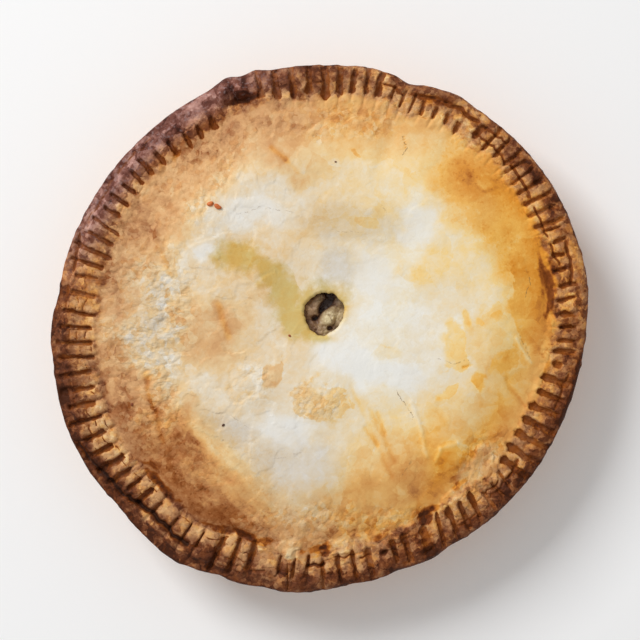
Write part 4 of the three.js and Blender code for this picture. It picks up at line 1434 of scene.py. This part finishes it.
def pastry_level(place):
    """The bake with patches, flat-toned flakes and crumbs added, with crumb tops painted paler and the
    creases between them darker as painted light and shade, before the dark marks.
    """
    bake, craggy, on_rim = field(place, "bake"), field(place, "craggy"), field(place, "on_rim")
    lively = 1.0 - 0.75 * field(place, "calm")
    toasty = bake.between(0.08, 0.45)
    bent, fine = place.shifted(9.0, 7.0), place.shifted(2.5, 2.2)
    broad = bent.noise(15.0, 1.0).terraced(9.0, 0.2) - 0.5
    small = bent.noise(5.5, 1.0).terraced(7.0, 0.2) - 0.5
    flakes = (bent.cells(FLAKE_SIZE) - 0.5) + 0.8 * (fine.cells(CRUMB_SIZE) - 0.5)
    pieces = fine.cells(GRAIN_SIZE) - 0.5
    mottle = place.noise(3.0, 4.0, 0.62) - 0.5
    grain = place.noise(1.0, 3.0, 0.65) - 0.5
    edge = field(place, "blister") + 1.3 * (bent.noise(5.0, 3.0, 0.6) - 0.5)
    spread = 0.12 + 0.6 * place.noise(14.0, 1.0).between(0.4, 0.65)
    level = bake + field(place, "blister_bake") * (edge / spread).between(-0.5, 0.5)
    level = level + (0.08 + 0.04 * toasty) * (broad + 1.35 * small) * lively
    # painted light and shade: crumb tops paler, the creases between crumbs darker
    level = level + (0.06 + 0.06 * toasty) * flakes * lively - 0.1 * field(place, "relief").above(-0.5)
    level = level + (0.03 + 0.18 * craggy) * pieces + 0.14 * craggy * (fine.cells(CRUMB_SIZE) - 0.5)
    pale_specks = place.noise(2.6, 2.0, 0.6).between(0.56, 0.7)
    specks = place.noise(1.7, 2.0, 0.6).between(0.56, 0.7) - 0.7 * pale_specks
    level = level + (0.08 * on_rim + 0.08 * field(place, "calm")) * specks
    return level + (0.085 + 0.04 * craggy + 0.02 * on_rim) * (mottle + grain), mottle, grain, pieces


def patchy(place, name, low, high):
    """A named field with a ragged edge: 0 outside and 1 well inside."""
    return (field(place, name) + 1.2 * (place.noise(6.0, 4.0, 0.62) - 0.5)).between(low, high)


def hair_share(place):
    """1 along the hair cracks: a thin, wandering and broken line where the signed distance is near 0."""
    aside = field(place, "hair_aside") + 3.5 * (place.noise(4.0, 4.0, 0.7) - 0.5)
    away = aside.math("ABSOLUTE", aside)
    line = (1.0 - away.between(0.05, 0.35)) * field(place, "hair_dark")
    return line * place.noise(1.6, 1.0).between(0.42, 0.56)


print("flakes, crumbs and grains:", FLAKE_SIZE, CRUMB_SIZE, GRAIN_SIZE, "mm")

# %% [markdown]
# The pastry's material turns the bake into colour through three ramps: golden, rosier and mauve, the mauve
# partly painted sheen of the light.
# Fork marks and cracks push the bake to its dark end, and the deepest cracks get painted shade. Fat
# darkens and yellows the crust as a stain does, by multiplying, and flour lies over it.

# %% Pastry material
GOLD_RAMP = [
    (0.00, paint(241, 238, 228)), (0.14, paint(238, 224, 194)), (0.28, paint(243, 210, 143)),
    (0.43, paint(242, 184, 88)), (0.57, paint(224, 147, 48)), (0.70, paint(176, 102, 36)),
    (0.82, paint(128, 65, 17)), (0.92, paint(100, 46, 10)), (1.00, paint(72, 33, 8)),
]

ROSE_RAMP = [
    (0.00, paint(236, 232, 224)), (0.14, paint(230, 215, 190)), (0.28, paint(228, 197, 150)),
    (0.43, paint(218, 172, 120)), (0.57, paint(201, 150, 101)), (0.70, paint(165, 115, 77)),
    (0.82, paint(121, 71, 43)), (0.92, paint(95, 49, 26)), (1.00, paint(69, 34, 17)),
]

MAUVE_AND_SHEEN_RAMP = [
    (0.43, paint(222, 186, 178)), (0.57, paint(196, 154, 146)), (0.70, paint(160, 116, 107)),
    (0.82, paint(118, 73, 63)), (0.92, paint(90, 48, 40)), (1.00, paint(64, 34, 28)),
]

CRUMB_RAMP = [(0.5, paint(222, 130, 58)), (0.7, paint(190, 92, 36)), (0.95, paint(62, 38, 24))]
STAIN = paint(233, 220, 162)
HAIR = paint(128, 98, 66)
PAINTED_GLINT = paint(206, 174, 170)
GREY_TINT = paint(230, 232, 240)
FLOURY = paint(232, 231, 227)
DEEP_CRACK_SHADE = paint(40, 22, 16)


def pastry_material():
    """Bake into colour, then stains, flour, painted glints, hair cracks and painted shade in the deepest
    cracks over it, and a fine bump.
    """
    material, shader, place = new_material("baked_pastry")
    level, mottle, grain, pieces = pastry_level(place)
    soak, mauve = patchy(place, "soak", -0.3, 0.5), field(place, "mauve")
    broken = 0.75 + 1.2 * (place.noise(2.0, 3.0) - 0.3)
    mark, crack = field(place, "mark") * broken, field(place, "crack")
    cracked = crack.between(0.2, 0.7)
    dark = mark.between(0.1, 0.55).above(cracked)
    deepest = (0.69 + 0.14 * mark).above(0.83 * cracked)
    level = level + dark * (deepest - level).above(0.0)
    hue = place.noise(3.5, 2.0, 0.6).between(0.35, 0.65) - 0.5
    rosy = field(place, "rosy") + 0.5 * hue * field(place, "on_rim")
    on_lid = 1.0 - field(place, "on_rim")
    rosy = rosy - (0.6 * field(place, "craggy") * pieces + 3.0 * (level - 0.65).above(0.0)) * on_lid
    rosy = rosy * (1.0 - dark * (1.0 - 0.6 * rosy * rosy))
    colour = rosy.mixed(level.ramp(GOLD_RAMP), level.ramp(ROSE_RAMP))
    # mauve, partly the crust's own tone and partly painted sheen of the light
    colour = (mauve * (0.9 - 0.5 * dark)).mixed(colour, level.ramp(MAUVE_AND_SHEEN_RAMP))
    colour = soak.mixed(colour, STAIN, "MULTIPLY")
    colour = (patchy(place, "grey", -0.3, 0.6) * 0.7).mixed(colour, GREY_TINT, "MULTIPLY")
    # painted glints: fine pale pink specks on the mauve band at the upper left, standing for the sheen of
    # the light there
    colour = (mauve * place.noise(1.7, 2.0).between(0.52, 0.68) * 0.28).mixed(colour, PAINTED_GLINT)
    colour = (patchy(place, "flour", -0.05, 0.45) * 0.5).mixed(colour, FLOURY)
    colour = hair_share(place).mixed(colour, HAIR)
    # painted shade: the deepest cracks turn almost black
    colour = (crack.between(0.9, 2.0) * 0.85).mixed(colour, DEEP_CRACK_SHADE)
    plug(colour, shader, "Base Color")
    plug(0.6 + 0.4 * mottle, shader, "Roughness")
    height = (0.13 + 0.6 * field(place, "craggy")) * (0.5 * grain + mottle + 0.3 * pieces)
    bump = height.make("ShaderNodeBump", {}, {"Strength": 0.8, "Distance": 0.001, "Height": height})
    plug(bump, shader, "Normal")
    shader.inputs["Specular IOR Level"].default_value = 0.12
    return material


def crumb_material():
    """A crumb's bake into colour, a little uneven."""
    material, shader, place = new_material("toasted_crumb")
    level = field(place, "bake") + 0.2 * (place.noise(0.8, 3.0) - 0.5)
    plug(level.ramp(CRUMB_RAMP), shader, "Base Color")
    shader.inputs["Roughness"].default_value = 0.6
    return material


pastry = pastry_material()
rim.data.materials.append(pastry)
lid.data.materials.append(pastry)
crumbs.data.materials.append(crumb_material())
print("pastry material ready")

# %% [markdown]
# Cooked meat is a greyish brown. Its colour is painted lighter on top of each crumb as painted light, and
# almost black between them as painted shade, where the vent's shadow falls. A moist surface is smoother
# than pastry.

# %% Filling material
# dark end: painted shade between the pieces; light end: painted light on their tops
MEAT_RAMP = [
    (0.0, paint(48, 27, 20)), (0.3, paint(104, 74, 54)), (0.6, paint(158, 134, 98)),
    (1.0, paint(216, 198, 156)),
]

PINK_TINT = paint(214, 180, 172)


def meat_material():
    """Painted light on top of the lumps and painted shade between them, in shreds, with a pinker piece on
    the left.
    """
    material, shader, place = new_material("cooked_meat")
    grain, shreds = place.noise(0.9, 3.0), place.shifted(3.0, 3.0).cells(2.4)
    level = field(place, "lump") * (0.55 + 0.5 * shreds) + 0.3 * (grain - 0.5)
    colour = (0.8 * field(place, "pink")).mixed(level.ramp(MEAT_RAMP), PINK_TINT, "MULTIPLY")
    plug(colour, shader, "Base Color")
    bump = grain.make("ShaderNodeBump", {}, {"Strength": 0.5, "Distance": 0.0005, "Height": grain})
    plug(bump, shader, "Normal")
    shader.inputs["Roughness"].default_value = 0.5
    return material


filling.data.materials.append(meat_material())
print("filling material ready")

# %% [markdown]
# The pie lies on a pale table. A broad light from the upper left makes the ridges stand out, and an
# even white surround fills the shadows.

# %% Table, light and camera
PICTURE_MM = 281.6  # width of the view at the height of the rim
CAMERA_HEIGHT = 900.0
AIM_X, AIM_Y = 0.27, 3.9
TABLE_HALF = 3.0  # metres
TABLE_GREY = 0.92
LAMP_PLACE, LAMP_SIZE, LAMP_POWER = (-1.65, 1.65, 1.875), 1.25, 68.75  # metres and watts
SURROUND = 0.5


def make_table():
    """A pale square under the pie."""
    mesh = bpy.data.meshes.new("table")
    half = TABLE_HALF
    corners = [(-half, -half, 0), (half, -half, 0), (half, half, 0), (-half, half, 0)]
    mesh.from_pydata(corners, [], [(0, 1, 2, 3)])
    table = bpy.data.objects.new("table", mesh)
    bpy.context.scene.collection.objects.link(table)
    material, shader, _ = new_material("pale_table")
    shader.inputs["Base Color"].default_value = (TABLE_GREY, TABLE_GREY, TABLE_GREY, 1)
    shader.inputs["Roughness"].default_value = 0.9
    mesh.materials.append(material)


def add_light(name, place, size, power):
    """A square lamp that faces the middle of the pie."""
    data = bpy.data.lights.new(name, "AREA")
    data.size = size
    data.energy = power
    lamp = bpy.data.objects.new(name, data)
    lamp.location = place
    lamp.rotation_euler = (-lamp.location).to_track_quat("-Z", "Y").to_euler()
    bpy.context.scene.collection.objects.link(lamp)


def add_camera():
    """A camera straight above, with the picture's width at the height of the rim."""
    data = bpy.data.cameras.new("camera")
    data.angle = 2 * math.atan(PICTURE_MM / 2 / (CAMERA_HEIGHT - RIM_TOP))
    camera = bpy.data.objects.new("camera", data)
    camera.location = (AIM_X * MM, AIM_Y * MM, CAMERA_HEIGHT * MM)
    bpy.context.scene.collection.objects.link(camera)
    bpy.context.scene.camera = camera


scene = bpy.context.scene
world = bpy.data.worlds.new("surround")
world.use_nodes = True
world.node_tree.nodes["Background"].inputs["Color"].default_value = (1.0, 1.0, 1.0, 1)
world.node_tree.nodes["Background"].inputs["Strength"].default_value = SURROUND
scene.world = world
scene.view_settings.view_transform = "Standard"
make_table()
add_light("window", LAMP_PLACE, LAMP_SIZE, LAMP_POWER)
add_camera()
print("camera at", CAMERA_HEIGHT, "mm")

# %% [markdown]
